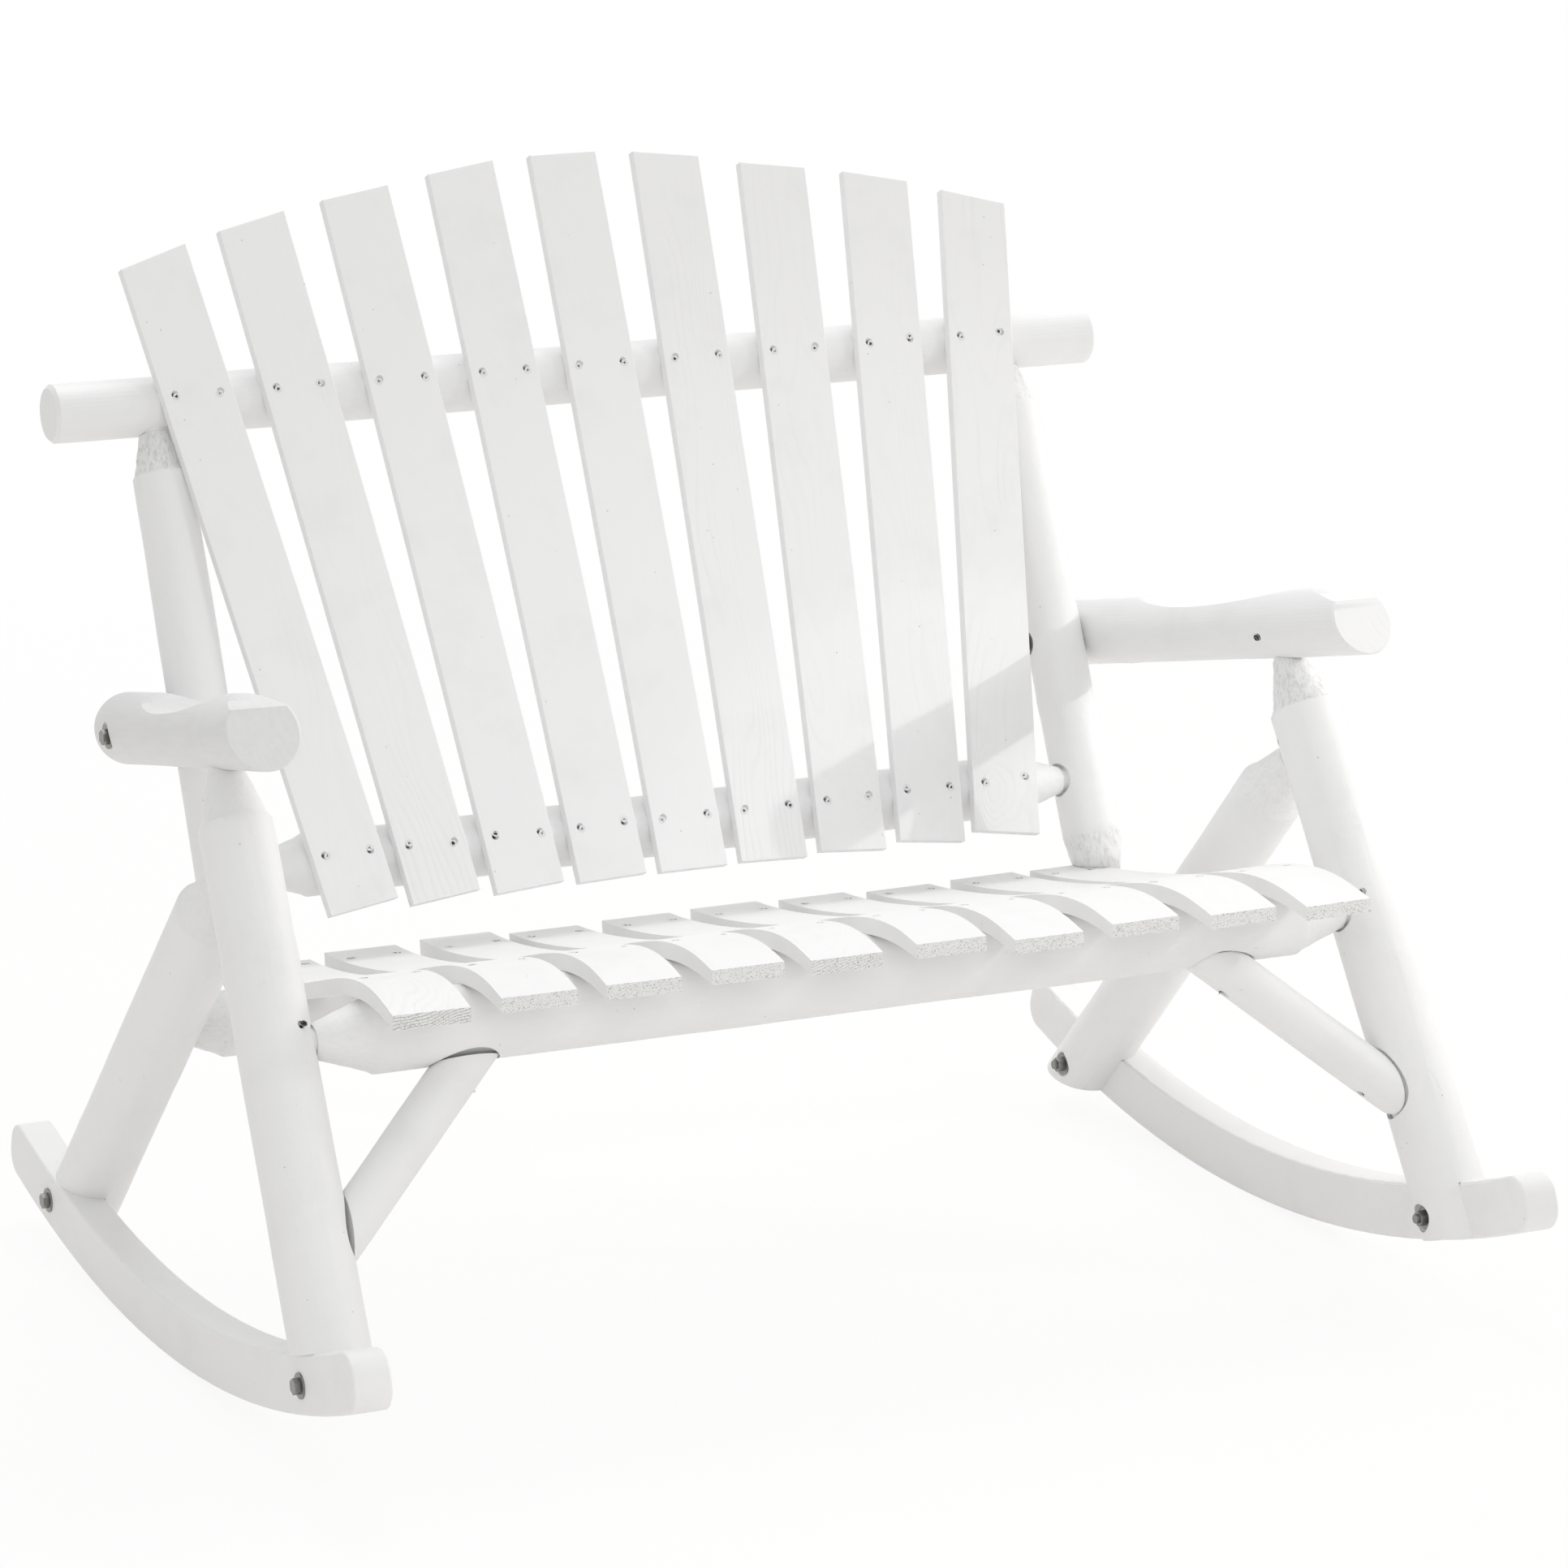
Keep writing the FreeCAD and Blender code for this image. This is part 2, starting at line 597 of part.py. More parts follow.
# Armrest hardware: one bolt through each armrest and its back post
hardware["armrest_bolts"] = []
hardware["armrest_washers"] = []
hardware["armrest_nuts"] = []
for side, word in ((-1, "left"), (1, "right")):
    arm_axis = (mirrored(arm_rear, side) - mirrored(arm_front, side)).normalize()
    through = Vector(-side, 0, 0)
    arm_point = mirrored(arm_front, side) + arm_axis * 478 - Vector(0, 0, 5)
    outside = arm_point - through * (arm_radius[side] - 3.0)
    post_bottom = mirrored(post_foot, side)
    post_line = mirrored(post_axis, side)
    post_point = post_bottom + post_line * ((arm_point.z - 300) / post_line.z)
    inside_distance = (post_point - outside).dot(through) + 28.5
    inside = outside + through * inside_distance
    arm_flat = Part.makeCylinder(washer_radius + 2, 60, outside - through * 60, through)
    post_flat = Part.makeCylinder(washer_radius + 2, 60, inside, through)
    hole = Part.makeCylinder(bolt_hole_radius, 240, outside - through * 40, through)
    nodes["armrest_" + word] = nodes["armrest_" + word].cut(arm_flat).cut(hole)
    nodes["back_post_" + word] = nodes["back_post_" + word].cut(post_flat).cut(hole)
    head_start = outside - through * washer_thickness
    head = hex_prism(head_start, through * -1, bolt_head_flats, bolt_head_height)
    length = inside_distance + 2 * washer_thickness + nut_height + thread_end
    shank = Part.makeCylinder(bolt_radius, length, head_start, through)
    hardware["armrest_bolts"].append(head.fuse(shank))
    hardware["armrest_washers"].append(washer(outside, through * -1))
    hardware["armrest_washers"].append(washer(inside, through))
    nut = hex_prism(inside + through * washer_thickness, through, bolt_head_flats, nut_height)
    hardware["armrest_nuts"].append(nut.cut(shank))

for name, solids in list(groups.items()) + list(hardware.items()):
    nodes[name] = Part.makeCompound(solids)

# At rest the centre of mass hangs straight below the centre of the rocker arc
weight = 0.0
moment_y = 0.0
moment_z = 0.0
for name, shape in nodes.items():
    for solid in shape.Solids:
        weight += solid.Volume
        moment_y += solid.Volume * solid.CenterOfMass.y
        moment_z += solid.Volume * solid.CenterOfMass.z
rest_turn = math.degrees(math.atan2(moment_y / weight - arc_y, arc_z - moment_z / weight))
for name in nodes:
    nodes[name] = nodes[name].copy()
    nodes[name].rotate(Vector(0, arc_y, arc_z), Vector(1, 0, 0), -rest_turn)

# The origin is the middle of the base of the bounding box
box = Part.makeCompound(list(nodes.values())).optimalBoundingBox()
shift = Vector(-box.Center.x, -box.Center.y, arc_outer - arc_z)
print("Lean at rest %.4f degrees, shift %.4f mm" % (rest_turn, shift.y))
print("Size %.2f x %.2f x %.2f mm" % (box.XLength, box.YLength, box.ZLength))

for name, shape in nodes.items():
    shape.translate(shift)
    shape.exportStep("parts/%s.step" % name)
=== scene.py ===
import bpy
import math
from mathutils import Matrix, Vector, noise


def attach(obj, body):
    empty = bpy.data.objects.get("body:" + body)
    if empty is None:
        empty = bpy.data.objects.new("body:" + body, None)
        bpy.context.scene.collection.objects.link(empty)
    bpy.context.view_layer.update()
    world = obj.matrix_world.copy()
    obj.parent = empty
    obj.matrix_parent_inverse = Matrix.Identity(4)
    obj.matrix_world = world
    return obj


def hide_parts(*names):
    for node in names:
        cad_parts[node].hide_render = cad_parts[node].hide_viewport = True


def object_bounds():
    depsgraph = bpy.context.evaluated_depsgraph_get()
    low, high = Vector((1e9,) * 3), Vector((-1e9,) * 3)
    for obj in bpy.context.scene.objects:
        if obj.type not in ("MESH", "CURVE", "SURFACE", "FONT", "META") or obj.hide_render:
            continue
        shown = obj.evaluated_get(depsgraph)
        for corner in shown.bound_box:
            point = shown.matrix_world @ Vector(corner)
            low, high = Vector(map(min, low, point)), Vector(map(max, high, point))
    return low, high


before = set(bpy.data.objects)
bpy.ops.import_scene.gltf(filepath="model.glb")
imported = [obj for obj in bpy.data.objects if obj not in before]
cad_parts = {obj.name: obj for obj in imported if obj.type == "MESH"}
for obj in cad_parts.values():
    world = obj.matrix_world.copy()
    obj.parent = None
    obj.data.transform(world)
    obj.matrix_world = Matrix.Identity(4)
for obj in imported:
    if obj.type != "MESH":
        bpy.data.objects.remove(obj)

cad_box = [list(corner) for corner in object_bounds()]

# Camera, floor and light
# The bench stands on white paper in a white studio and is seen from its front left, from a standing eye's
# height. Soft lamps light it from the right and from above, with weaker ones in front and on the left.
eye = Vector((-2.446108, -5.074379, 1.922126))
look = Vector((0.411532, 0.879128, -0.240363))
right_hand = Vector((0.905996, -0.423275, 0.003052))
camera_data = bpy.data.cameras.new("photo_camera")
camera_data.sensor_width = 36.0
camera_data.lens = 131.782
camera_data.shift_x = 0.057418
camera_data.shift_y = -0.003242
camera_data.clip_end = 200.0
camera = bpy.data.objects.new("photo_camera", camera_data)
upright = look.cross(right_hand) * -1
turn = Matrix((right_hand, upright, look * -1)).transposed()
camera.matrix_world = Matrix.Translation(eye) @ turn.to_4x4()
bpy.context.scene.collection.objects.link(camera)
bpy.context.scene.camera = camera
bpy.context.scene.view_settings.view_transform = "Standard"


def linear(hex_colour):
    """An sRGB colour written as hex, as the linear colour a shader wants."""
    channels = [int(hex_colour[i:i + 2], 16) / 255 for i in (1, 3, 5)]
    return [c / 12.92 if c <= 0.04045 else ((c + 0.055) / 1.055) ** 2.4 for c in channels] + [1.0]


def feed(tree, node, inputs):
    """Gives a node its inputs; each is either a value or the output that feeds it."""
    for name, value in inputs.items():
        if isinstance(value, bpy.types.NodeSocket):
            tree.links.new(value, node.inputs[name])
        else:
            node.inputs[name].default_value = value


def add(tree, kind, inputs=None, **settings):
    """Adds a node with its settings and its inputs."""
    fresh = tree.nodes.new(kind)
    for name, value in settings.items():
        setattr(fresh, name, value)
    feed(tree, fresh, inputs or {})
    return fresh


def new_material(name):
    """A new material, its nodes and its main shader."""
    material = bpy.data.materials.new(name)
    material.use_nodes = True
    return material, material.node_tree, material.node_tree.nodes["Principled BSDF"]


def seen_directly(tree):
    """1 where the camera, a reflection or a view through glass meets the surface, 0 for the light it sends on."""
    sight = add(tree, "ShaderNodeLightPath")
    seen = add(tree, "ShaderNodeMath", {0: sight.outputs["Is Camera Ray"], 1: sight.outputs["Is Glossy Ray"]},
               operation="MAXIMUM")
    seen = add(tree, "ShaderNodeMath", {0: seen.outputs[0], 1: sight.outputs["Is Transmission Ray"]},
               operation="MAXIMUM")
    return seen.outputs[0]


def studio_floor():
    """Matt white paper, a touch warm. It looks nearly plain white, with the bench's shadow kept faint."""
    paper, tree, shader = new_material("white_studio_paper")
    tree.nodes.remove(shader)
    matt = add(tree, "ShaderNodeBsdfDiffuse", {"Color": linear("#FAF8F5")})
    lit = add(tree, "ShaderNodeEmission", {"Color": (1, 1, 1, 1), "Strength": 1.0})
    # The shadow shows through by a tenth near the bench, and no more from 4 m out
    where = add(tree, "ShaderNodeTexCoord").outputs["Object"]
    far = add(tree, "ShaderNodeVectorMath", {0: where}, operation="LENGTH")
    plain = add(tree, "ShaderNodeMapRange", {"Value": far.outputs["Value"], "From Min": 1.0, "From Max": 4.0,
                                             "To Min": 0.90, "To Max": 1.0})
    share = add(tree, "ShaderNodeMath", {0: seen_directly(tree), 1: plain.outputs[0]}, operation="MULTIPLY")
    mix = add(tree, "ShaderNodeMixShader", {"Fac": share.outputs[0], 1: matt.outputs[0], 2: lit.outputs[0]})
    feed(tree, tree.nodes["Material Output"], {"Surface": mix.outputs[0]})
    return paper


bpy.ops.object.select_all(action="DESELECT")
bpy.ops.mesh.primitive_plane_add(size=80.0, location=(0, 0, 0))
floor = bpy.context.object
floor.name = "floor"
floor.data.materials.append(studio_floor())

# The room looks plain white but lights the bench at a lower level, which leaves the lamps room to shape it
room_level = 0.61
world = bpy.data.worlds.new("white_room")
bpy.context.scene.world = world
world.use_nodes = True
room_tree = world.node_tree
level = add(room_tree, "ShaderNodeMapRange", {"Value": seen_directly(room_tree), "To Min": room_level,
                                              "To Max": 1.0})
feed(room_tree, room_tree.nodes["Background"], {"Color": (1, 1, 1, 1), "Strength": level.outputs[0]})


def lamp(name, kind, aim, towards, distance, width, share):
    """A soft lamp: the point it aims at, the way from there to the lamp, how far off it is and how wide, in
    metres, and the part of full white that it gives a surface square to it."""
    data = bpy.data.lights.new(name, kind)
    if kind == "AREA":
        data.size = width
        data.energy = share * (math.pi * distance) ** 2
    else:
        data.shadow_soft_size = width / 2
        data.energy = share * (2 * math.pi * distance) ** 2
    place = Vector(aim) + Vector(towards).normalized() * distance
    facing = (place - Vector(aim)).to_track_quat("Z", "Y").to_matrix().to_4x4()
    made = bpy.data.objects.new(name, data)
    made.matrix_world = Matrix.Translation(place) @ facing
    made.visible_camera = False
    bpy.context.scene.collection.objects.link(made)
    return data


right_front = (0.720, -0.559, 0.412)
right_lamp = lamp("right", "AREA", (0, 0, 0.5), (1.0, 0.10, 0.45), 4.0, 2.4, 0.25)
right_lamp.color = (1.0, 0.965, 0.93)
lamp("left", "AREA", (0.4, 0, 0.4), (-1.0, -0.30, 0.10), 3.2, 2.4, 0.035)
lamp("top", "AREA", (0, 0, 0.5), (0.10, 0.42, 0.90), 4.5, 2.5, 0.345)
lamp("front", "AREA", (0.2, 0.1, 0.6), (-0.65, -1.40, 0.90), 1.9, 1.2, 0.090)
lamp("low_card", "AREA", (0.45, 0.2, 0.4), (-0.80, -1.30, -0.25), 1.55, 1.0, 0.03)
lamp("low_right_front", "AREA", (0, 0, 0.5), right_front, 4.5, 0.5, 0.06)

# A sharper light from the right front throws the right armrest's shadow on the slats. It is strongest on the
# right-hand half of the seat and on the feet of the slats, and fades out towards the left and the top.
for name, share, degrees, blend in (("wide_beam", 0.10, 18.0, 0.90), ("beam", 0.06, 7.0, 0.30)):
    beam = lamp(name, "SPOT", (0.333, 0.16, 0.42), right_front, 4.5, 0.06, share)
    beam.spot_size = math.radians(degrees)
    beam.spot_blend = blend


# Rockers
# Two planks sawn to an arc and stood on edge, the corners of their ends rounded over and the edges eased.
# Softwood under two coats of satin white paint; the legs are half lapped over them and bolted through.
rest_turn = math.radians(7.0481)
arc_centre = Vector((0.0, 0.07715, 1.535))
level_arc_centre_mm = (174.3, 1535.0)
merge_distance = 0.00001


def at_rest(x, y, z):
    """A point in millimetres of the level frame, carried to where it is when the bench leans at rest."""
    back, up = (y - level_arc_centre_mm[0]) / 1000, (z - level_arc_centre_mm[1]) / 1000
    return arc_centre + Vector((x / 1000, back * math.cos(rest_turn) + up * math.sin(rest_turn),
                                up * math.cos(rest_turn) - back * math.sin(rest_turn)))


def run_at_rest(x, y, z):
    """A direction of the level frame, turned as the bench leans at rest."""
    return (at_rest(x, y, z) - at_rest(0, 0, 0)).normalized()


def pick(piece):
    """Selects one piece alone and makes it the active one."""
    bpy.ops.object.select_all(action="DESELECT")
    bpy.context.view_layer.objects.active = piece
    piece.select_set(True)


def in_edit(piece):
    """Opens a piece in edit mode with all of it selected."""
    pick(piece)
    bpy.ops.object.mode_set(mode="EDIT")
    bpy.ops.mesh.select_all(action="SELECT")


def start_from(node, name):
    """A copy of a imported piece's mesh, its loose triangles merged, to be shaped further."""
    piece = bpy.data.objects.new(name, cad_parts[node].data.copy())
    bpy.context.scene.collection.objects.link(piece)
    piece.data.materials.clear()
    in_edit(piece)
    bpy.ops.mesh.customdata_custom_splitnormals_clear()
    bpy.ops.mesh.remove_doubles(threshold=merge_distance)
    bpy.ops.object.mode_set(mode="OBJECT")
    return piece


def store(piece, name, kind, values):
    """Stores one value a point on a piece, for its material to read."""
    held = piece.data.attributes.new(name, kind, "POINT")
    for item, value in zip(held.data, values):
        if kind == "FLOAT":
            item.value = value
        else:
            item.vector = value


def lay_grain(piece, foot, across, along, offset, figure=(0.3, 0.3), knot=None, painted_shade=0.0):
    """Stores each point in the wood's own frame, z along the grain, so that the pattern follows the piece. figure
    is how plainly the growth rings show at the lowest and the highest end, knot is a knot's place (across, along),
    and the last one is how much the paint is greyed as painted shade."""
    depth = along.cross(across)
    no_knot = (9.0, 9.0)
    knot = knot or no_knot
    points = [vertex.co - foot for vertex in piece.data.vertices]
    places = [point.dot(across) for point in points]
    runs = [point.dot(along) for point in points]
    low, high = min(runs), max(runs)
    store(piece, "grain", "FLOAT_VECTOR",
          [(place + offset * 0.9, point.dot(depth) + offset * 0.53, run + offset * 1.7)
           for point, place, run in zip(points, places, runs)])
    store(piece, "figure", "FLOAT",
          [figure[0] + (figure[1] - figure[0]) * (run - low) / (high - low) for run in runs])
    store(piece, "from_knot", "FLOAT_VECTOR",
          [(place - knot[0], 0.0, run - knot[1]) for place, run in zip(places, runs)])
    store(piece, "painted_shade", "FLOAT", [painted_shade] * len(runs))


def hand_in(piece, node, material, sharp=35, flat_faced=False):
    """Gives a finished piece its paint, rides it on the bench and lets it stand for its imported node."""
    if not piece.data.materials:
        piece.data.materials.append(material)
    pick(piece)
    bpy.ops.object.shade_smooth_by_angle(angle=math.radians(sharp))
    if flat_faced:
        even = piece.modifiers.new("even", "WEIGHTED_NORMAL")
        even.keep_sharp = True
        bpy.ops.object.modifier_apply(modifier="even")
    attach(piece, "root")
    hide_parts(node)


def painted_wood(name, pith, ring_mm, ring_relief_mm, ring_stain, pore_mm, pore_run_mm, pore_relief_mm, roughness):
    """Satin white paint over softwood: growth rings and pores stand through it where the "figure" attribute says
    so, and it greys a little on the rings and in the pits. Knife cuts roughen it where the "hewn" attribute says
    so, with painted shade in their hollows, and a further attribute paints greyer shade with faint streaks. Rings
    lie round a log's pith, or slant through a board that was sawn flat."""
    material, tree, shader = new_material(name)
    way = add(tree, "ShaderNodeAttribute", attribute_name="grain").outputs["Vector"]
    # Growth rings: they drift slowly sideways along the wood, and a knot pushes them 14 mm aside within 32 mm
    wander = add(tree, "ShaderNodeVectorMath", {0: way, 1: (11.0, 11.0, 2.2)}, operation="MULTIPLY")
    drift = add(tree, "ShaderNodeTexNoise", {"Vector": wander.outputs[0], "Scale": 1.0, "Detail": 2.0,
                                             "Roughness": 0.5})
    drift = add(tree, "ShaderNodeMath", {0: drift.outputs["Fac"], 1: 0.060}, operation="MULTIPLY")
    from_knot = add(tree, "ShaderNodeAttribute", attribute_name="from_knot").outputs["Vector"]
    from_knot = add(tree, "ShaderNodeVectorMath", {0: from_knot, 1: (1.0, 1.0, 0.55)}, operation="MULTIPLY")
    from_knot = add(tree, "ShaderNodeVectorMath", {0: from_knot.outputs[0]}, operation="LENGTH")
    round_knot = add(tree, "ShaderNodeMapRange", {"Value": from_knot.outputs["Value"], "From Min": 0.032,
                                                  "From Max": 0.0, "To Max": 0.014},
                     interpolation_type="SMOOTHSTEP")
    drift = add(tree, "ShaderNodeMath", {0: drift.outputs[0], 1: round_knot.outputs[0]}, operation="ADD")
    if pith:
        flat = add(tree, "ShaderNodeVectorMath", {0: way, 1: (1.0, 1.0, 0.0)}, operation="MULTIPLY")
        radius = add(tree, "ShaderNodeVectorMath", {0: flat.outputs[0]}, operation="LENGTH")
    else:
        radius = add(tree, "ShaderNodeVectorMath", {0: way, 1: (0.22, 0.975, 0.0)}, operation="DOT_PRODUCT")
    radius = add(tree, "ShaderNodeMath", {0: radius.outputs["Value"], 1: drift.outputs[0]}, operation="ADD")
    rings_per_metre = 1000 / ring_mm
    phase = add(tree, "ShaderNodeMath", {0: radius.outputs[0], 1: 2 * math.pi * rings_per_metre},
                operation="MULTIPLY")
    wave = add(tree, "ShaderNodeMath", {0: phase.outputs[0]}, operation="SINE")
    late = add(tree, "ShaderNodeMapRange", {"Value": wave.outputs[0], "From Min": 0.2, "From Max": 1.0})
    # The rings show in some places and are filled with paint in others
    patch = add(tree, "ShaderNodeVectorMath", {0: way, 1: (26.0, 26.0, 5.0)}, operation="MULTIPLY")
    show = add(tree, "ShaderNodeTexNoise", {"Vector": patch.outputs[0], "Scale": 1.0, "Detail": 2.0})
    show = add(tree, "ShaderNodeMapRange", {"Value": show.outputs["Fac"], "From Min": 0.36, "From Max": 0.62})
    figure = add(tree, "ShaderNodeAttribute", attribute_name="figure").outputs["Fac"]
    show = add(tree, "ShaderNodeMath", {0: show.outputs[0], 1: figure}, operation="MULTIPLY")
    rings = add(tree, "ShaderNodeMath", {0: late.outputs[0], 1: show.outputs[0]}, operation="MULTIPLY")
    # Pores and brush marks: fine streaks along the grain
    fine = (1000 / pore_mm, 1000 / pore_mm, 1000 / pore_run_mm)
    fine = add(tree, "ShaderNodeVectorMath", {0: way, 1: fine}, operation="MULTIPLY")
    pores = add(tree, "ShaderNodeTexNoise", {"Vector": fine.outputs[0], "Scale": 1.0, "Detail": 3.0,
                                             "Roughness": 0.6})
    pore_show = add(tree, "ShaderNodeMath", {0: figure, 1: 0.7, 2: 0.3}, operation="MULTIPLY_ADD")
    # Knife cuts on hewn ends: deep strokes 3 mm wide and 11 mm long
    cuts = add(tree, "ShaderNodeVectorMath", {0: way, 1: (1000 / 3.2, 1000 / 3.2, 1000 / 11.0)},
               operation="MULTIPLY")
    cuts = add(tree, "ShaderNodeTexNoise", {"Vector": cuts.outputs[0], "Scale": 1.0, "Detail": 4.0,
                                            "Roughness": 0.7})
    hewn = add(tree, "ShaderNodeAttribute", attribute_name="hewn").outputs["Fac"]
    # A few resin pits, a millimetre or two across, every 25 mm or so
    pits = add(tree, "ShaderNodeTexVoronoi", {"Vector": way, "Scale": 1000 / 25.0, "Randomness": 1.0})
    pits = add(tree, "ShaderNodeMapRange", {"Value": pits.outputs["Distance"], "From Min": 0.042,
                                            "From Max": 0.015})
    # Height of the paint in millimetres: down in the rings, in the pits by 0.4, up between cuts by 1.2
    cut_height = add(tree, "ShaderNodeMath", {0: cuts.outputs["Fac"], 1: hewn}, operation="MULTIPLY")
    pore_height = add(tree, "ShaderNodeMath", {0: pores.outputs["Fac"], 1: pore_relief_mm}, operation="MULTIPLY")
    pore_height = add(tree, "ShaderNodeMath", {0: pore_height.outputs[0], 1: pore_show.outputs[0]},
                      operation="MULTIPLY")
    height = add(tree, "ShaderNodeMath", {0: rings.outputs[0], 1: -ring_relief_mm, 2: pore_height.outputs[0]},
                 operation="MULTIPLY_ADD")
    height = add(tree, "ShaderNodeMath", {0: pits.outputs[0], 1: -0.4, 2: height.outputs[0]},
                 operation="MULTIPLY_ADD")
    height = add(tree, "ShaderNodeMath", {0: cut_height.outputs[0], 1: 1.2, 2: height.outputs[0]},
                 operation="MULTIPLY_ADD")
    bump = add(tree, "ShaderNodeBump", {"Strength": 1.0, "Distance": 0.001, "Height": height.outputs[0]})
    # Paint colour: clean white, greyer in faint blotches, on the ring lines and in the pits; painted shade greys
    # the knife cuts and the armrests
    blotch = add(tree, "ShaderNodeTexNoise", {"Vector": way, "Scale": 14.0, "Detail": 4.0, "Roughness": 0.6})
    blotch = add(tree, "ShaderNodeMapRange", {"Value": blotch.outputs["Fac"], "From Min": 0.52, "From Max": 0.75,
                                              "To Max": 0.10})
    grey_and_painted_shade = add(tree, "ShaderNodeMath", {0: rings.outputs[0], 1: ring_stain, 2: blotch.outputs[0]},
               operation="MULTIPLY_ADD")
    grey_and_painted_shade = add(tree, "ShaderNodeMath", {0: pits.outputs[0], 1: 1.0, 2: grey_and_painted_shade.outputs[0]},
               operation="MULTIPLY_ADD")
    # Painted shade: the paint is greyer where the piece's shade attribute says so, with faint streaks 6 mm wide
    # along the wood
    streak = add(tree, "ShaderNodeVectorMath", {0: way, 1: (160.0, 160.0, 14.0)}, operation="MULTIPLY")
    streak = add(tree, "ShaderNodeTexNoise", {"Vector": streak.outputs[0], "Scale": 1.0, "Detail": 3.0})
    streak = add(tree, "ShaderNodeMapRange", {"Value": streak.outputs["Fac"], "From Min": -1.2, "From Max": 1.3})
    painted_shade = add(tree, "ShaderNodeAttribute", attribute_name="painted_shade").outputs["Fac"]
    grey_and_painted_shade = add(tree, "ShaderNodeMath", {0: streak.outputs[0], 1: painted_shade, 2: grey_and_painted_shade.outputs[0]},
               operation="MULTIPLY_ADD")
    # Painted shade: the deep parts of the knife cuts are painted grey
    deep = add(tree, "ShaderNodeMapRange", {"Value": cuts.outputs["Fac"], "From Min": 0.52, "From Max": 0.36,
                                            "To Max": 0.6})
    deep = add(tree, "ShaderNodeMath", {0: deep.outputs[0], 1: hewn, 2: grey_and_painted_shade.outputs[0]},
               operation="MULTIPLY_ADD")
    colour = add(tree, "ShaderNodeMix", {0: deep.outputs[0], 6: linear("#F2F2F2"), 7: linear("#C6C6C6")},
                 data_type="RGBA", clamp_factor=False)
    gloss = add(tree, "ShaderNodeMapRange", {"Value": pores.outputs["Fac"], "To Min": roughness - 0.08,
                                             "To Max": roughness + 0.10})
    feed(tree, shader, {"Base Color": colour.outputs[2], "Roughness": gloss.outputs[0],
                        "Normal": bump.outputs[0]})
    return material


plank_paint = painted_wood("satin_white_paint_on_sawn_plank", pith=False, ring_mm=4.5, ring_relief_mm=0.06,
                           ring_stain=0.05, pore_mm=1.6, pore_run_mm=30.0, pore_relief_mm=0.10, roughness=0.50)

for number, word in enumerate(("left", "right")):
    plank = start_from("rocker_" + word, "rocker_plank_" + word)
    lay_grain(plank, Vector((0.0, 0.077, 0.0)), Vector((1, 0, 0)), Vector((0, 1, 0)), number)
    hand_in(plank, "rocker_" + word, plank_paint, flat_faced=True)


# Legs
# Peeled logs, two a side: the front one leans back and its hewn tip is let into the armrest, the rear one
# leans forward and is let into the back of the front one. Their feet are half lapped over the rocker.
log_paint = painted_wood("satin_white_paint_on_peeled_log", pith=True, ring_mm=9.0, ring_relief_mm=0.06,
                         ring_stain=0.05, pore_mm=1.6, pore_run_mm=45.0, pore_relief_mm=0.10, roughness=0.48)
ring_step = 0.009
wave_height = 0.0007
knife_flats = 9
knife_depth = 0.0005


def shape_log(piece, foot, axis, radius, cones, knots, offset, figure=(0.3, 0.3), painted_shade=0.0):
    """Rings the log all along, then gives it a peeled log's slight waves and knots, and knife flats on its cones.
    A cone is (from, to, how rough) along the log; a knot is (along the log, angle in degrees, width, height)."""
    across = axis.orthogonal().normalized()
    depth = axis.cross(across)
    reach = [(vertex.co - foot).dot(axis) for vertex in piece.data.vertices]
    in_edit(piece)
    place = min(reach) + ring_step
    while place < max(reach):
        bpy.ops.mesh.select_all(action="SELECT")
        bpy.ops.mesh.bisect(plane_co=foot + axis * place, plane_no=axis)
        on_cone = any(start - 0.004 < place < end for start, end, rough in cones)
        place += ring_step / 3 if on_cone else ring_step
    bpy.ops.mesh.select_all(action="SELECT")
    bpy.ops.mesh.remove_doubles(threshold=merge_distance)
    bpy.ops.object.mode_set(mode="OBJECT")
    hewn = piece.data.attributes.new("hewn", "FLOAT", "POINT")
    for vertex in piece.data.vertices:
        run = (vertex.co - foot).dot(axis)
        arm = vertex.co - foot - axis * run
        distance = arm.length
        rough = max([rough for start, end, rough in cones if start - 0.001 < run < end], default=0.0)
        # The middles of end faces and the walls of sockets and holes stay as they are
        if distance < 0.004 or (distance < 0.93 * radius and not rough):
            continue
        outward = arm / distance
        angle = math.atan2(arm.dot(depth), arm.dot(across))
        where = Vector((arm.dot(across) * 14, arm.dot(depth) * 14, run * 7 + offset * 5))
        push = wave_height * noise.noise(where) + wave_height * 0.4 * noise.noise(where * 3.1)
        for at, turned, width, height in knots:
            lean = (angle - math.radians(turned) + math.pi) % (2 * math.pi) - math.pi
            far = math.hypot(run - at, lean * radius) / width
            push += height * math.exp(-far * far)
        if rough:
            slant = (angle + 0.5 * math.sin(run * 90 + offset)) * knife_flats / (2 * math.pi)
            off_middle = abs(slant - math.floor(slant) - 0.5) * 2
            flat_depth = distance * (1 - math.cos(math.pi / knife_flats))
            push -= 0.75 * rough ** 0.5 * flat_depth * (1 - off_middle ** 2)
            strokes = Vector((math.cos(angle) * distance * 260, math.sin(angle) * distance * 260, run * 90))
            push -= knife_depth * rough * abs(noise.noise(strokes)) * 2
            hewn.data[vertex.index].value = rough
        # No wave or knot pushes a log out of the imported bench's box
        moved = vertex.co + outward * push
        vertex.co = [min(max(value, low), high) for value, low, high in zip(moved, *cad_box)]
    lay_grain(piece, foot, across, axis, offset, figure, painted_shade=painted_shade)


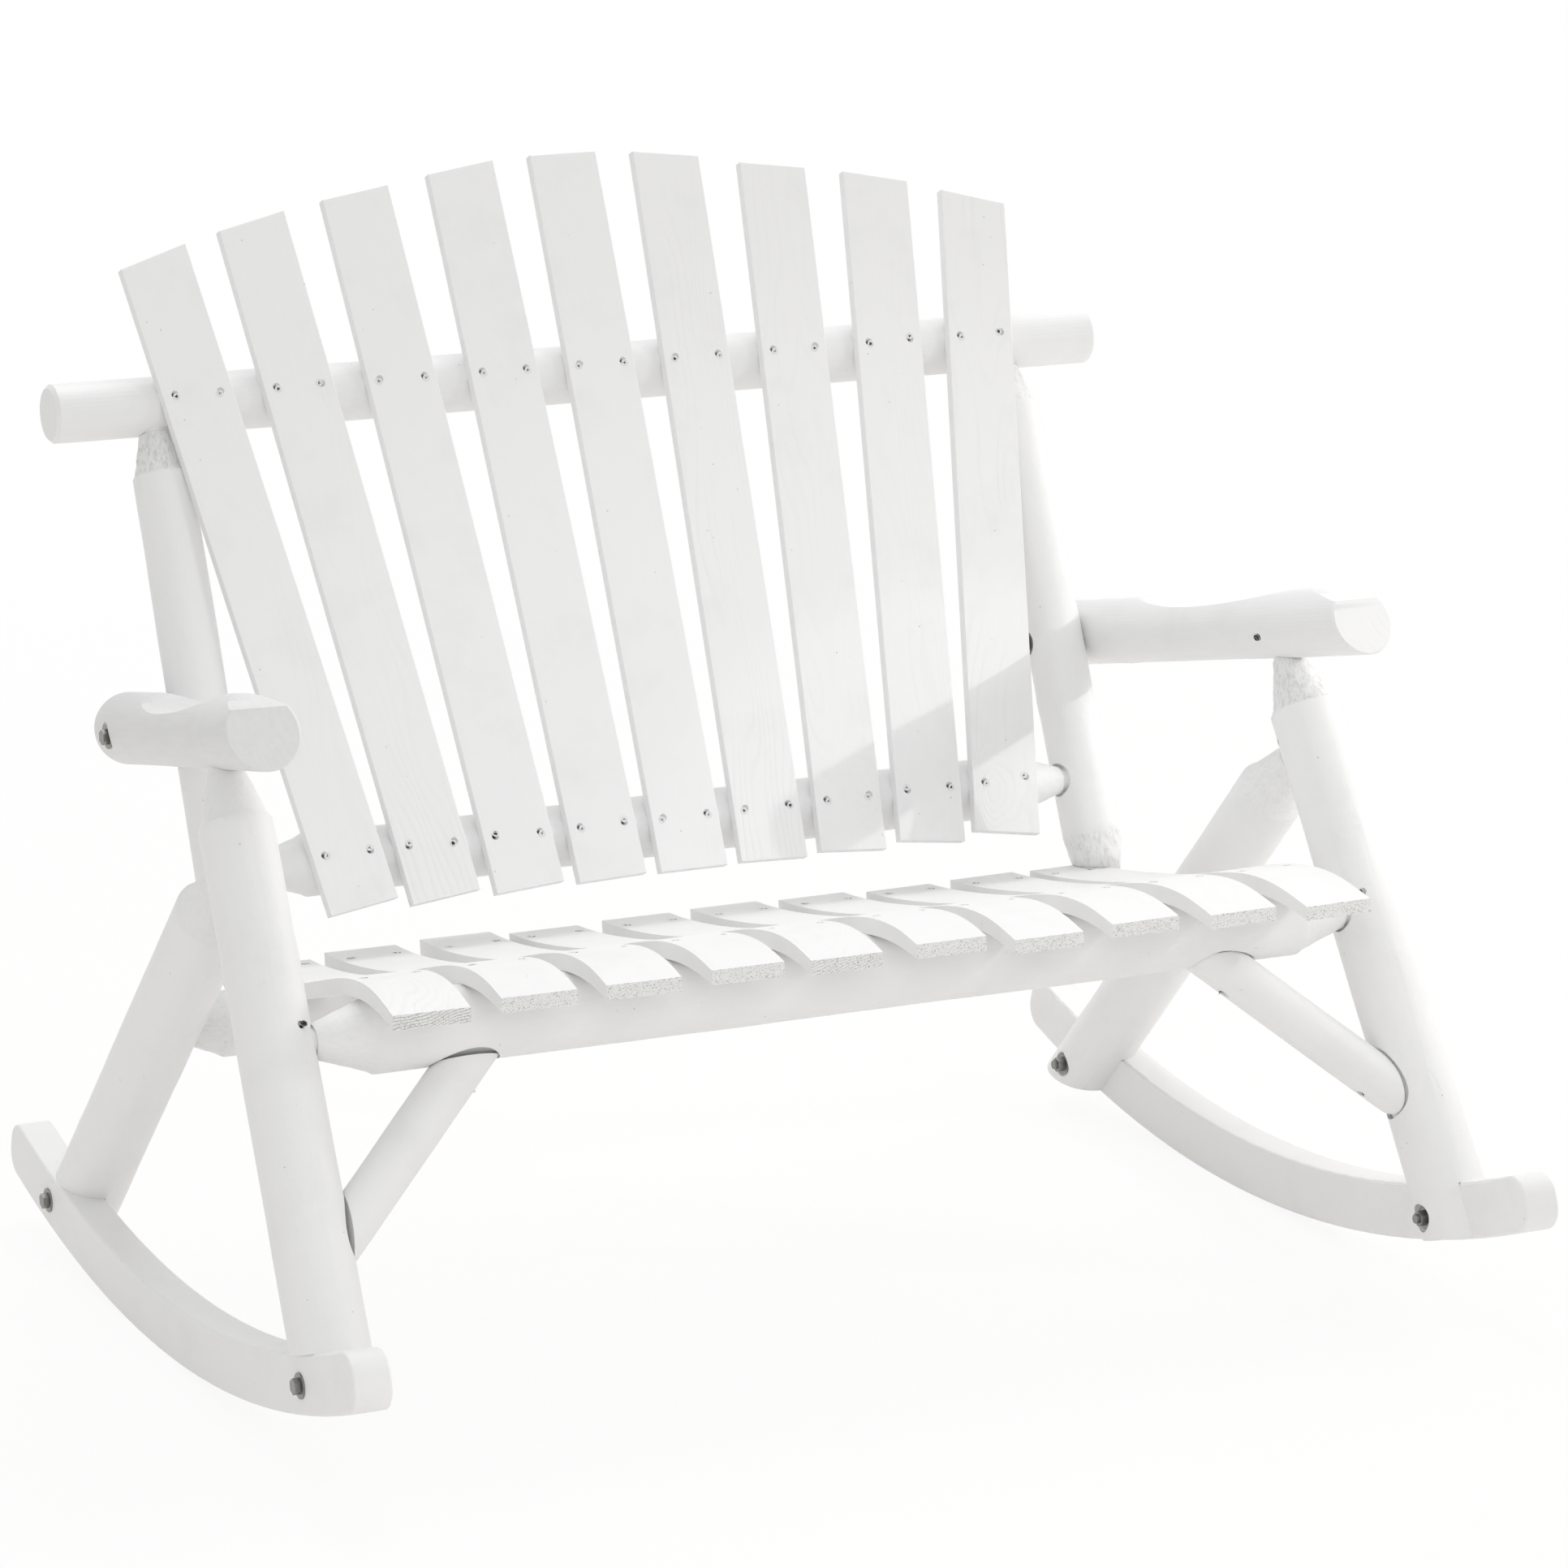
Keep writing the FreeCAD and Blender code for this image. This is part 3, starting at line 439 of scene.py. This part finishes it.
# Each kind of leg: its radius, its foot and direction on the right-hand side, and where its cone lies along it
leg_radius = 0.0375
front_leg_foot, front_leg_run, front_leg_cone = (611.3, -120.4, 0.0), (-0.0318, 0.4245, 0.9049), (0.609, 0.664)
rear_leg_foot, rear_leg_run, rear_leg_cone = (599.2, 773.8, 0.0), (-0.0077, -0.7778, 0.6285), (0.727, 0.788)
front_leg_knots = {-1: [(0.22, 150, 0.012, 0.0012), (0.47, -60, 0.015, 0.0010), (0.53, 40, 0.010, 0.0010)],
                   1: [(0.18, 10, 0.013, 0.0012), (0.40, 200, 0.014, 0.0010)]}
rear_leg_knots = {-1: [(0.30, 60, 0.013, 0.0012), (0.55, -100, 0.012, 0.0010)],
                  1: [(0.25, 120, 0.012, 0.0012), (0.60, -30, 0.015, 0.0012)]}
# The right-hand tips are left rough from the knife, the left-hand ones are shaved clean
front_tip_rough = {-1: 0.12, 1: 0.9}
rear_tip_rough = {-1: 0.15, 1: 0.3}

for side, word in ((-1, "left"), (1, "right")):
    for which, foot, run, cone, rough, knots, offset in (
            ("front_leg_", front_leg_foot, front_leg_run, front_leg_cone, front_tip_rough, front_leg_knots, 3),
            ("rear_leg_", rear_leg_foot, rear_leg_run, rear_leg_cone, rear_tip_rough, rear_leg_knots, 6)):
        leg = start_from(which + word, which + "log_" + word)
        shape_log(leg, at_rest(foot[0] * side, foot[1], foot[2]), run_at_rest(run[0] * side, run[1], run[2]),
                  leg_radius, [(*cone, rough[side])], knots[side], offset + side)
        hand_in(leg, which + word, log_paint)


# Seat rails and corner braces
# The front and rear rails are logs whose ends are hewn to cones and let into the legs. A thin log braces
# each front corner, set into the rail and the leg at 45 degrees and screwed.
across_bench = Vector((1, 0, 0))
front_rail_place = at_rest(0, 38, 349)
front_rail = start_from("front_seat_rail", "front_rail_log")
shape_log(front_rail, front_rail_place, across_bench, 0.0378, [(-0.564, -0.509, 0.15), (0.509, 0.564, 0.15)],
          [(-0.30, -70, 0.014, 0.0010), (0.12, -100, 0.015, 0.0010), (0.38, -60, 0.012, 0.0010)], 10)
hand_in(front_rail, "front_seat_rail", log_paint)
rear_rail = start_from("rear_seat_rail", "rear_rail_log")
shape_log(rear_rail, at_rest(0, 393, 313), across_bench, 0.0335, [(-0.562, -0.531, 0.3), (0.531, 0.562, 0.3)],
          [(0.2, 90, 0.014, 0.0012)], 11)
hand_in(rear_rail, "rear_seat_rail", log_paint)

# The planes of the braces' mitred ends: a point in millimetres of the level frame and a normal
brace_top = {-1: ((-414.9, 27.2, 315.6), (0.0, -0.341, -0.940)),
             1: ((413.8, 27.7, 325.0), (0.0, -0.190, -0.980))}
brace_foot = {-1: ((-569.8, -35.9, 180.2), (-0.997, 0.041, 0.066)),
              1: ((565.4, -34.6, 184.3), (0.937, 0.330, -0.117))}

for side, word in ((-1, "left"), (1, "right")):
    upper = at_rest(404.0 * side, 31.7, 324.3)
    lower = at_rest(585.0 * side, -42.8, 165.6)
    brace = start_from("corner_brace_" + word, "corner_brace_log_" + word)
    # Both ends are mitred flat by hand, level under the rail and upright along the leg, and leave a gap there
    in_edit(brace)
    (place, facing) = brace_top[side]
    bpy.ops.mesh.bisect(plane_co=at_rest(*place), plane_no=run_at_rest(*facing), use_fill=True, clear_inner=True)
    bpy.ops.mesh.select_all(action="SELECT")
    (place, facing) = brace_foot[side]
    bpy.ops.mesh.bisect(plane_co=at_rest(*place), plane_no=run_at_rest(*facing), use_fill=True, clear_outer=True)
    bpy.ops.object.mode_set(mode="OBJECT")
    shape_log(brace, upper, (lower - upper).normalized(), 0.0242, [], [(0.12, 80 * side, 0.010, 0.0008)],
              13 + side)
    hand_in(brace, "corner_brace_" + word, log_paint)


# Back posts and back rails
# The posts stand in the rear seat rail, pass the seat through notches and carry the top rail on hewn tips.
# The lower rail is let into the posts. The back slats are screwed on the front of both rails.
back_lean = math.radians(18.51)
slat_foot_mm = (384.4, 415.7)


def on_back(across, up, behind):
    """A point of the back: across, up the slats, and behind their front face, in the level frame."""
    return at_rest(across, slat_foot_mm[0] + up * math.sin(back_lean) + behind * math.cos(back_lean),
                   slat_foot_mm[1] + up * math.cos(back_lean) - behind * math.sin(back_lean))


post_tip_rough = {-1: 1.0, 1: 0.6}

for side, word in ((-1, "left"), (1, "right")):
    foot = at_rest(493.8 * side, 397.0, 300.0)
    axis = run_at_rest(-0.0055 * side, 0.3044, 0.9525)
    post = start_from("back_post_" + word, "back_post_log_" + word)
    shape_log(post, foot, axis, 0.031, [(0.047, 0.098, 0.7), (0.583, 0.624, post_tip_rough[side])],
              [(0.25, 100 * side, 0.012, 0.0010), (0.42, -60 * side, 0.013, 0.0010)], 16 + side)
    hand_in(post, "back_post_" + word, log_paint)

top_rail = start_from("top_rail", "top_rail_log")
shape_log(top_rail, on_back(0, 549, 41.6), across_bench, 0.0306, [],
          [(-0.20, -90, 0.013, 0.0010), (0.55, -80, 0.014, 0.0012), (-0.52, -60, 0.010, 0.0008)], 19)
hand_in(top_rail, "top_rail", log_paint)
low_rail = start_from("lower_back_rail", "lower_back_rail_log")
shape_log(low_rail, on_back(0, 57, 43.4), across_bench, 0.0324, [(-0.462, -0.413, 0.05), (0.413, 0.462, 0.05)],
          [(0.1, -90, 0.014, 0.0010)], 20)
hand_in(low_rail, "lower_back_rail", log_paint)


# Armrests
# Thick logs, each with a long hollow hewn in its top for the forearm. The front end sits on the front leg's
# tip, and a bolt holds the rear end to the back post. Both are painted a little greyer as painted shade, the
# left-hand one more.
arm_painted_shade = {-1: 0.50, 1: 0.15}
arm_figure = (0.8, 0.8)

for side, word in ((-1, "left"), (1, "right")):
    front = at_rest(598.5 * side, 26.3, 648.6)
    rear = at_rest(552.5 * side, 546.0, 601.0)
    arm = start_from("armrest_" + word, "armrest_log_" + word)
    shape_log(arm, front, (rear - front).normalized(), 0.0362, [],
              [(0.10, 120 * side, 0.012, 0.0008), (0.42, 160 * side, 0.016, 0.0010)], 23 + side, arm_figure,
              arm_painted_shade[side])
    hand_in(arm, "armrest_" + word, log_paint)


# Seat slats
# Boards sawn to one S curve, eased along their edges and fanned out to the front. The ends are open grain
# that took the paint badly, so they look speckled.
slat_paint = painted_wood("satin_white_paint_on_planed_board", pith=False, ring_mm=3.5, ring_relief_mm=0.14,
                          ring_stain=0.10, pore_mm=1.4, pore_run_mm=38.0, pore_relief_mm=0.10, roughness=0.46)


def end_grain_paint():
    """Thin white paint on open end grain: finely pitted and a little grey where the pores drank it."""
    material, tree, shader = new_material("thin_paint_on_end_grain")
    way = add(tree, "ShaderNodeAttribute", attribute_name="grain").outputs["Vector"]
    # Open pores, drawn 1.3 to 1.9 mm wide so that they show
    size = add(tree, "ShaderNodeVectorMath", {0: way, 1: (1000 / 1.9, 1000 / 1.3, 1000 / 1.9)},
               operation="MULTIPLY")
    speck = add(tree, "ShaderNodeTexNoise", {"Vector": size.outputs[0], "Scale": 1.0, "Detail": 3.0,
                                             "Roughness": 0.7})
    open_pores = add(tree, "ShaderNodeMapRange", {"Value": speck.outputs["Fac"], "From Min": 0.47,
                                                  "From Max": 0.36, "To Max": 0.9})
    # Saw-cut growth rings: curved lines 3 mm apart that only some ends show
    lines = add(tree, "ShaderNodeVectorMath", {0: way, 1: (0.30, 0.95, 0.0)}, operation="DOT_PRODUCT")
    bend = add(tree, "ShaderNodeTexNoise", {"Vector": way, "Scale": 22.0, "Detail": 1.0})
    lines = add(tree, "ShaderNodeMath", {0: bend.outputs["Fac"], 1: 0.020, 2: lines.outputs["Value"]},
                operation="MULTIPLY_ADD")
    lines = add(tree, "ShaderNodeMath", {0: lines.outputs[0], 1: 2 * math.pi * 1000 / 3.0}, operation="MULTIPLY")
    lines = add(tree, "ShaderNodeMath", {0: lines.outputs[0]}, operation="SINE")
    lines = add(tree, "ShaderNodeMapRange", {"Value": lines.outputs[0], "From Min": 0.5, "From Max": 1.0,
                                             "To Max": 0.8})
    figure = add(tree, "ShaderNodeAttribute", attribute_name="figure").outputs["Fac"]
    grey = add(tree, "ShaderNodeMath", {0: lines.outputs[0], 1: figure, 2: open_pores.outputs[0]},
               operation="MULTIPLY_ADD")
    colour = add(tree, "ShaderNodeMix", {0: grey.outputs[0], 6: linear("#EDEDEC"), 7: linear("#A3A2A0")},
                 data_type="RGBA")
    bump = add(tree, "ShaderNodeBump", {"Strength": 1.0, "Distance": 0.0003, "Height": speck.outputs["Fac"]})
    feed(tree, shader, {"Base Color": colour.outputs[2], "Normal": bump.outputs[0], "Roughness": 0.75})
    return material


def edge_shade_paint():
    """Painted shade along the eased edges of a board: a patchy grey, so that they draw a fine grey line."""
    material, tree, shader = new_material("painted_shade_on_eased_edge")
    way = add(tree, "ShaderNodeAttribute", attribute_name="grain").outputs["Vector"]
    size = add(tree, "ShaderNodeVectorMath", {0: way, 1: (60.0, 60.0, 25.0)}, operation="MULTIPLY")
    shade_patch = add(tree, "ShaderNodeTexNoise", {"Vector": size.outputs[0], "Scale": 1.0, "Detail": 2.0})
    shade_patch = add(tree, "ShaderNodeMapRange", {"Value": shade_patch.outputs["Fac"], "From Min": 0.35,
                                              "From Max": 0.65})
    colour = add(tree, "ShaderNodeMix", {0: shade_patch.outputs[0], 6: linear("#E2E2E2"), 7: linear("#B4B4B4")},
                 data_type="RGBA")
    feed(tree, shader, {"Base Color": colour.outputs[2], "Roughness": 0.6})
    return material


end_grain = end_grain_paint()
edge_shade = edge_shade_paint()
seat_edge_radius = 0.0018


def flatten_triangles(piece):
    """Joins the triangles that lie in one plane, so that edges can be eased."""
    in_edit(piece)
    bpy.ops.mesh.dissolve_limited(angle_limit=math.radians(0.4))
    bpy.ops.object.mode_set(mode="OBJECT")


def ease_edges(piece, width, sharp=40):
    """Rounds the sharp edges, as sanding and paint do."""
    pick(piece)
    bevel = piece.modifiers.new("eased", "BEVEL")
    bevel.width = width
    bevel.segments = 2
    bevel.limit_method = "ANGLE"
    bevel.angle_limit = math.radians(sharp)
    bevel.harden_normals = False
    bpy.ops.object.modifier_apply(modifier="eased")


def mean(points):
    return sum(points, Vector()) / len(points)


# How plainly the growth rings show on each board from left to right, at its front and its rear
seat_figure = [(1.0, 0.5), (0.1, 0.3), (0.1, 0.3), (0.1, 0.2), (0.5, 0.3), (0.1, 0.3), (0.1, 0.2), (0.2, 0.3),
               (0.1, 0.3), (0.1, 0.2)]

for number in range(10):
    node = "seat_slat_%d" % (number + 1)
    board = start_from(node, "seat_board_%d" % (number + 1))
    flatten_triangles(board)
    sides = [face for face in board.data.polygons if face.normal.x > 0.9]
    across = max(sides, key=lambda face: face.area).normal.copy()
    along = Vector((0, 0, 1)).cross(across).normalized()
    foot = mean([vertex.co for vertex in board.data.vertices])
    ease_edges(board, seat_edge_radius, 50)
    lay_grain(board, foot, across, along, number * 1.3 + 40, seat_figure[number])
    for finish in (slat_paint, end_grain, edge_shade):
        board.data.materials.append(finish)
    front_edge = min(vertex.co.y for vertex in board.data.vertices)
    for face in board.data.polygons:
        if face.normal.dot(along) < -0.8 and face.center.y < front_edge + 0.02 or face.normal.dot(along) > 0.95:
            face.material_index = 1
        # Painted shade: the small slanted faces of the eased edges get the grey edge material
        elif 0.2 < abs(face.normal.dot(across)) < 0.95 and face.area < 0.0004:
            face.material_index = 2
    hand_in(board, node, slat_paint, 30, flat_faced=True)


# Back slats
# Nine planed boards fanned out, eased on the front, their tops sawn to an arch and their feet square. They are
# screwed on the front of the two back rails, under the same paint as the seat.

# How plainly the growth rings show on each board from left to right, at its foot and its head
back_figure = [(0.5, 0.05), (0.9, 0.1), (0.1, 0.1), (0.15, 0.1), (0.15, 0.1), (1.0, 0.35), (0.7, 0.3),
               (0.6, 0.15), (1.0, 0.7)]
# The boards with a knot, and where it lies from the board's middle
back_knots = {6: (0.010, -0.235), 8: (-0.015, -0.262)}

for number in range(9):
    node = "back_slat_%d" % (number + 1)
    board = start_from(node, "back_board_%d" % (number + 1))
    flatten_triangles(board)
    faces = sorted(board.data.polygons, key=lambda face: -face.area)
    facing = faces[0].normal.copy()
    across = next(face.normal.copy() for face in faces if abs(face.normal.dot(facing)) < 0.1)
    across = across if across.x > 0 else across * -1
    along = facing.cross(across).normalized()
    along = along if along.z > 0 else along * -1
    foot = mean([vertex.co for vertex in board.data.vertices])
    ease_edges(board, 0.0008)
    lay_grain(board, foot, across, along, number * 0.77 + 60, back_figure[number], back_knots.get(number))
    hand_in(board, node, slat_paint, 30, flat_faced=True)


# Screws
# Countersunk wood screws with a cross recess, sunk a little below the boards and touched by the paint brush.
# Two hold each slat to each of its rails, and single ones pin the tenons and the ends of the braces.
head_radius, head_depth = 0.0039, 0.0024
shank_radius, shank_length, tip_length = 0.0021, 0.0256, 0.0055
recess_length, recess_width, recess_depth = 0.0048, 0.0011, 0.0013


def screw_steel():
    """Zinc-plated steel with paint brushed over its head: white round the rim, and the bare steel in the middle
    painted dark grey as painted shade of the cross recess. The "bare" attribute says how little paint a head took,
    and "from_middle" is the distance from the screw's axis."""
    material, tree, shader = new_material("overpainted_zinc_screw")
    where = add(tree, "ShaderNodeTexCoord").outputs["Object"]
    blotch = add(tree, "ShaderNodeTexNoise", {"Vector": where, "Scale": 420.0, "Detail": 3.0})
    far = add(tree, "ShaderNodeAttribute", attribute_name="from_middle").outputs["Fac"]
    bare = add(tree, "ShaderNodeAttribute", attribute_name="bare").outputs["Fac"]
    # The paint's edge: 0.4 mm from the middle of a well painted head, past the rim of a bare one
    edge = add(tree, "ShaderNodeMath", {0: blotch.outputs["Fac"], 1: 0.0012, 2: far}, operation="MULTIPLY_ADD")
    reach = add(tree, "ShaderNodeMath", {0: bare, 1: 0.0042, 2: 0.0004}, operation="MULTIPLY_ADD")
    full = add(tree, "ShaderNodeMath", {0: reach.outputs[0], 1: 0.0007}, operation="ADD")
    paint = add(tree, "ShaderNodeMapRange", {"Value": edge.outputs[0], "From Min": reach.outputs[0],
                                             "From Max": full.outputs[0]})
    # Painted shade: the bare middle is dark grey, for the shade in the cross recess
    colour = add(tree, "ShaderNodeMix", {0: paint.outputs[0], 6: linear("#3E3D3C"), 7: linear("#E6E6E6")},
                 data_type="RGBA")
    metal = add(tree, "ShaderNodeMapRange", {"Value": paint.outputs[0], "To Min": 0.6, "To Max": 0.0})
    feed(tree, shader, {"Base Color": colour.outputs[2], "Metallic": metal.outputs[0], "Roughness": 0.5})
    return material


def model_screw():
    """One screw, its head's face at the origin and its tip down -Z."""
    bpy.ops.object.select_all(action="DESELECT")
    bpy.ops.mesh.primitive_cone_add(vertices=24, radius1=shank_radius, radius2=head_radius, depth=head_depth,
                                    location=(0, 0, -head_depth / 2))
    made = bpy.context.object
    bpy.ops.object.mode_set(mode="EDIT")
    bpy.ops.mesh.select_mode(type="FACE")
    bpy.ops.mesh.select_all(action="DESELECT")
    bpy.ops.object.mode_set(mode="OBJECT")
    for face in made.data.polygons:
        face.select = face.normal.z < -0.9
    bpy.ops.object.mode_set(mode="EDIT")
    for length in (shank_length, tip_length):
        bpy.ops.mesh.extrude_region_move(TRANSFORM_OT_translate={"value": (0, 0, -length)})
    bpy.ops.transform.resize(value=(0.25, 0.25, 1.0))
    bpy.ops.object.mode_set(mode="OBJECT")
    for turned in (0, 90):
        bpy.ops.object.select_all(action="DESELECT")
        bpy.ops.mesh.primitive_cube_add(size=1.0, location=(0, 0, 0), rotation=(0, 0, math.radians(turned)),
                                        scale=(recess_length, recess_width, recess_depth * 2))
        blade = bpy.context.object
        cross = made.modifiers.new("cross", "BOOLEAN")
        cross.object = blade
        cross.operation = "DIFFERENCE"
        bpy.context.view_layer.objects.active = made
        bpy.ops.object.modifier_apply(modifier="cross")
        bpy.data.objects.remove(blade)
    store(made, "from_middle", "FLOAT", [math.hypot(vertex.co.x, vertex.co.y) for vertex in made.data.vertices])
    return made


def loose_solids(node):
    """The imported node's separate solids, each as a list of points."""
    mesh = start_from(node, "reading")
    parent = list(range(len(mesh.data.vertices)))

    def root(index):
        while parent[index] != index:
            parent[index] = parent[parent[index]]
            index = parent[index]
        return index

    for edge in mesh.data.edges:
        first, second = root(edge.vertices[0]), root(edge.vertices[1])
        parent[first] = second
    groups = {}
    for vertex in mesh.data.vertices:
        groups.setdefault(root(vertex.index), []).append(vertex.co.copy())
    bpy.data.objects.remove(mesh)
    return list(groups.values())


def long_way(points):
    """Where a slim solid's thick end is, and the way from there to its thin end."""
    end_slice = 0.0002
    middle = mean(points)
    one = max(points, key=lambda point: (point - middle).length)
    other = max(points, key=lambda point: (point - one).length)
    way = (other - one).normalized()
    for _ in range(3):
        reach = [(point - middle).dot(way) for point in points]
        top, tip = min(reach), max(reach)
        near = [point for point, run in zip(points, reach) if run < top + end_slice]
        far = [point for point, run in zip(points, reach) if run > tip - end_slice]
        near_middle, far_middle = mean(near), mean(far)
        way = (far_middle - near_middle).normalized()
    spread_near = max((point - near_middle).length for point in near)
    spread_far = max((point - far_middle).length for point in far)
    if spread_near >= spread_far:
        return near_middle, way
    return far_middle, way * -1


def copies_in_place(model, places, name, bareness):
    """Copies the model, one mesh a copy, to each (start, way) with its -Z along the way, and joins the copies.
    bareness lists how little paint each head took."""
    made = []
    for number, (start, way) in enumerate(places):
        one = bpy.data.objects.new("%s_%d" % (name, number), model.data.copy())
        store(one, "bare", "FLOAT", [bareness[number]] * len(one.data.vertices))
        turned = (way * -1).to_track_quat("Z", "Y").to_matrix().to_4x4()
        spin = Matrix.Rotation(math.radians(37 * number), 4, "Z")
        one.data.transform(Matrix.Translation(start) @ turned @ spin)
        bpy.context.scene.collection.objects.link(one)
        made.append(one)
    pick(made[0])
    for one in made:
        one.select_set(True)
    bpy.ops.object.join()
    made[0].name = name
    return made[0]


screw_model = model_screw()
screw_finish = screw_steel()
least_bare = {"back_slat_screws": 0.14, "seat_slat_screws": 0.10, "joint_screws": 0.75, "brace_screws": 0.55}

noise.seed_set(7)
for node, least in least_bare.items():
    places = [long_way(points) for points in loose_solids(node)]
    # Most heads show only their recess through the paint, a few more of the head; the seat's front row is filled
    bareness = [least + 0.4 * noise.random() ** 2 for _ in places]
    for number, (start, way) in enumerate(places):
        if node == "seat_slat_screws" and start.y < front_rail_place.y + 0.05:
            bareness[number] = 0.0
    group = copies_in_place(screw_model, places, node.replace("screws", "cross_head_screws"), bareness)
    hand_in(group, node, screw_finish, 30)
bpy.data.objects.remove(screw_model)


# Bolts, washers and nuts
# Zinc-plated 3/8 inch hex hardware: bolts through rocker and leg from outside, and through armrest and post,
# with a washer under each head and nut.


def zinc_plate():
    """Zinc plate painted dark grey as a painted reflection of a dark room beside it: fairly smooth, clouded."""
    material, tree, shader = new_material("zinc_plated_steel_painted_dark")
    where = add(tree, "ShaderNodeTexCoord").outputs["Object"]
    cloud = add(tree, "ShaderNodeTexNoise", {"Vector": where, "Scale": 160.0, "Detail": 4.0})
    # Painted reflection: the metal's colour is dark grey for the dark room it mirrors
    colour = add(tree, "ShaderNodeMix", {0: cloud.outputs["Fac"], 6: linear("#6E6D6A"), 7: linear("#A5A4A0")},
                 data_type="RGBA")
    rough = add(tree, "ShaderNodeMapRange", {"Value": cloud.outputs["Fac"], "To Min": 0.28, "To Max": 0.5})
    feed(tree, shader, {"Base Color": colour.outputs[2], "Roughness": rough.outputs[0], "Metallic": 1.0})
    return material


zinc = zinc_plate()
for shape, edge_radius, nodes in (
        ("_hex_", 0.0007, ("rocker_bolts", "armrest_bolts", "rocker_nuts", "armrest_nuts")),
        ("_round_", 0.0004, ("rocker_washers", "armrest_washers"))):
    for node in nodes:
        group = start_from(node, node.replace("_", shape))
        flatten_triangles(group)
        ease_edges(group, edge_radius)
        hand_in(group, node, zinc, 30, flat_faced=True)
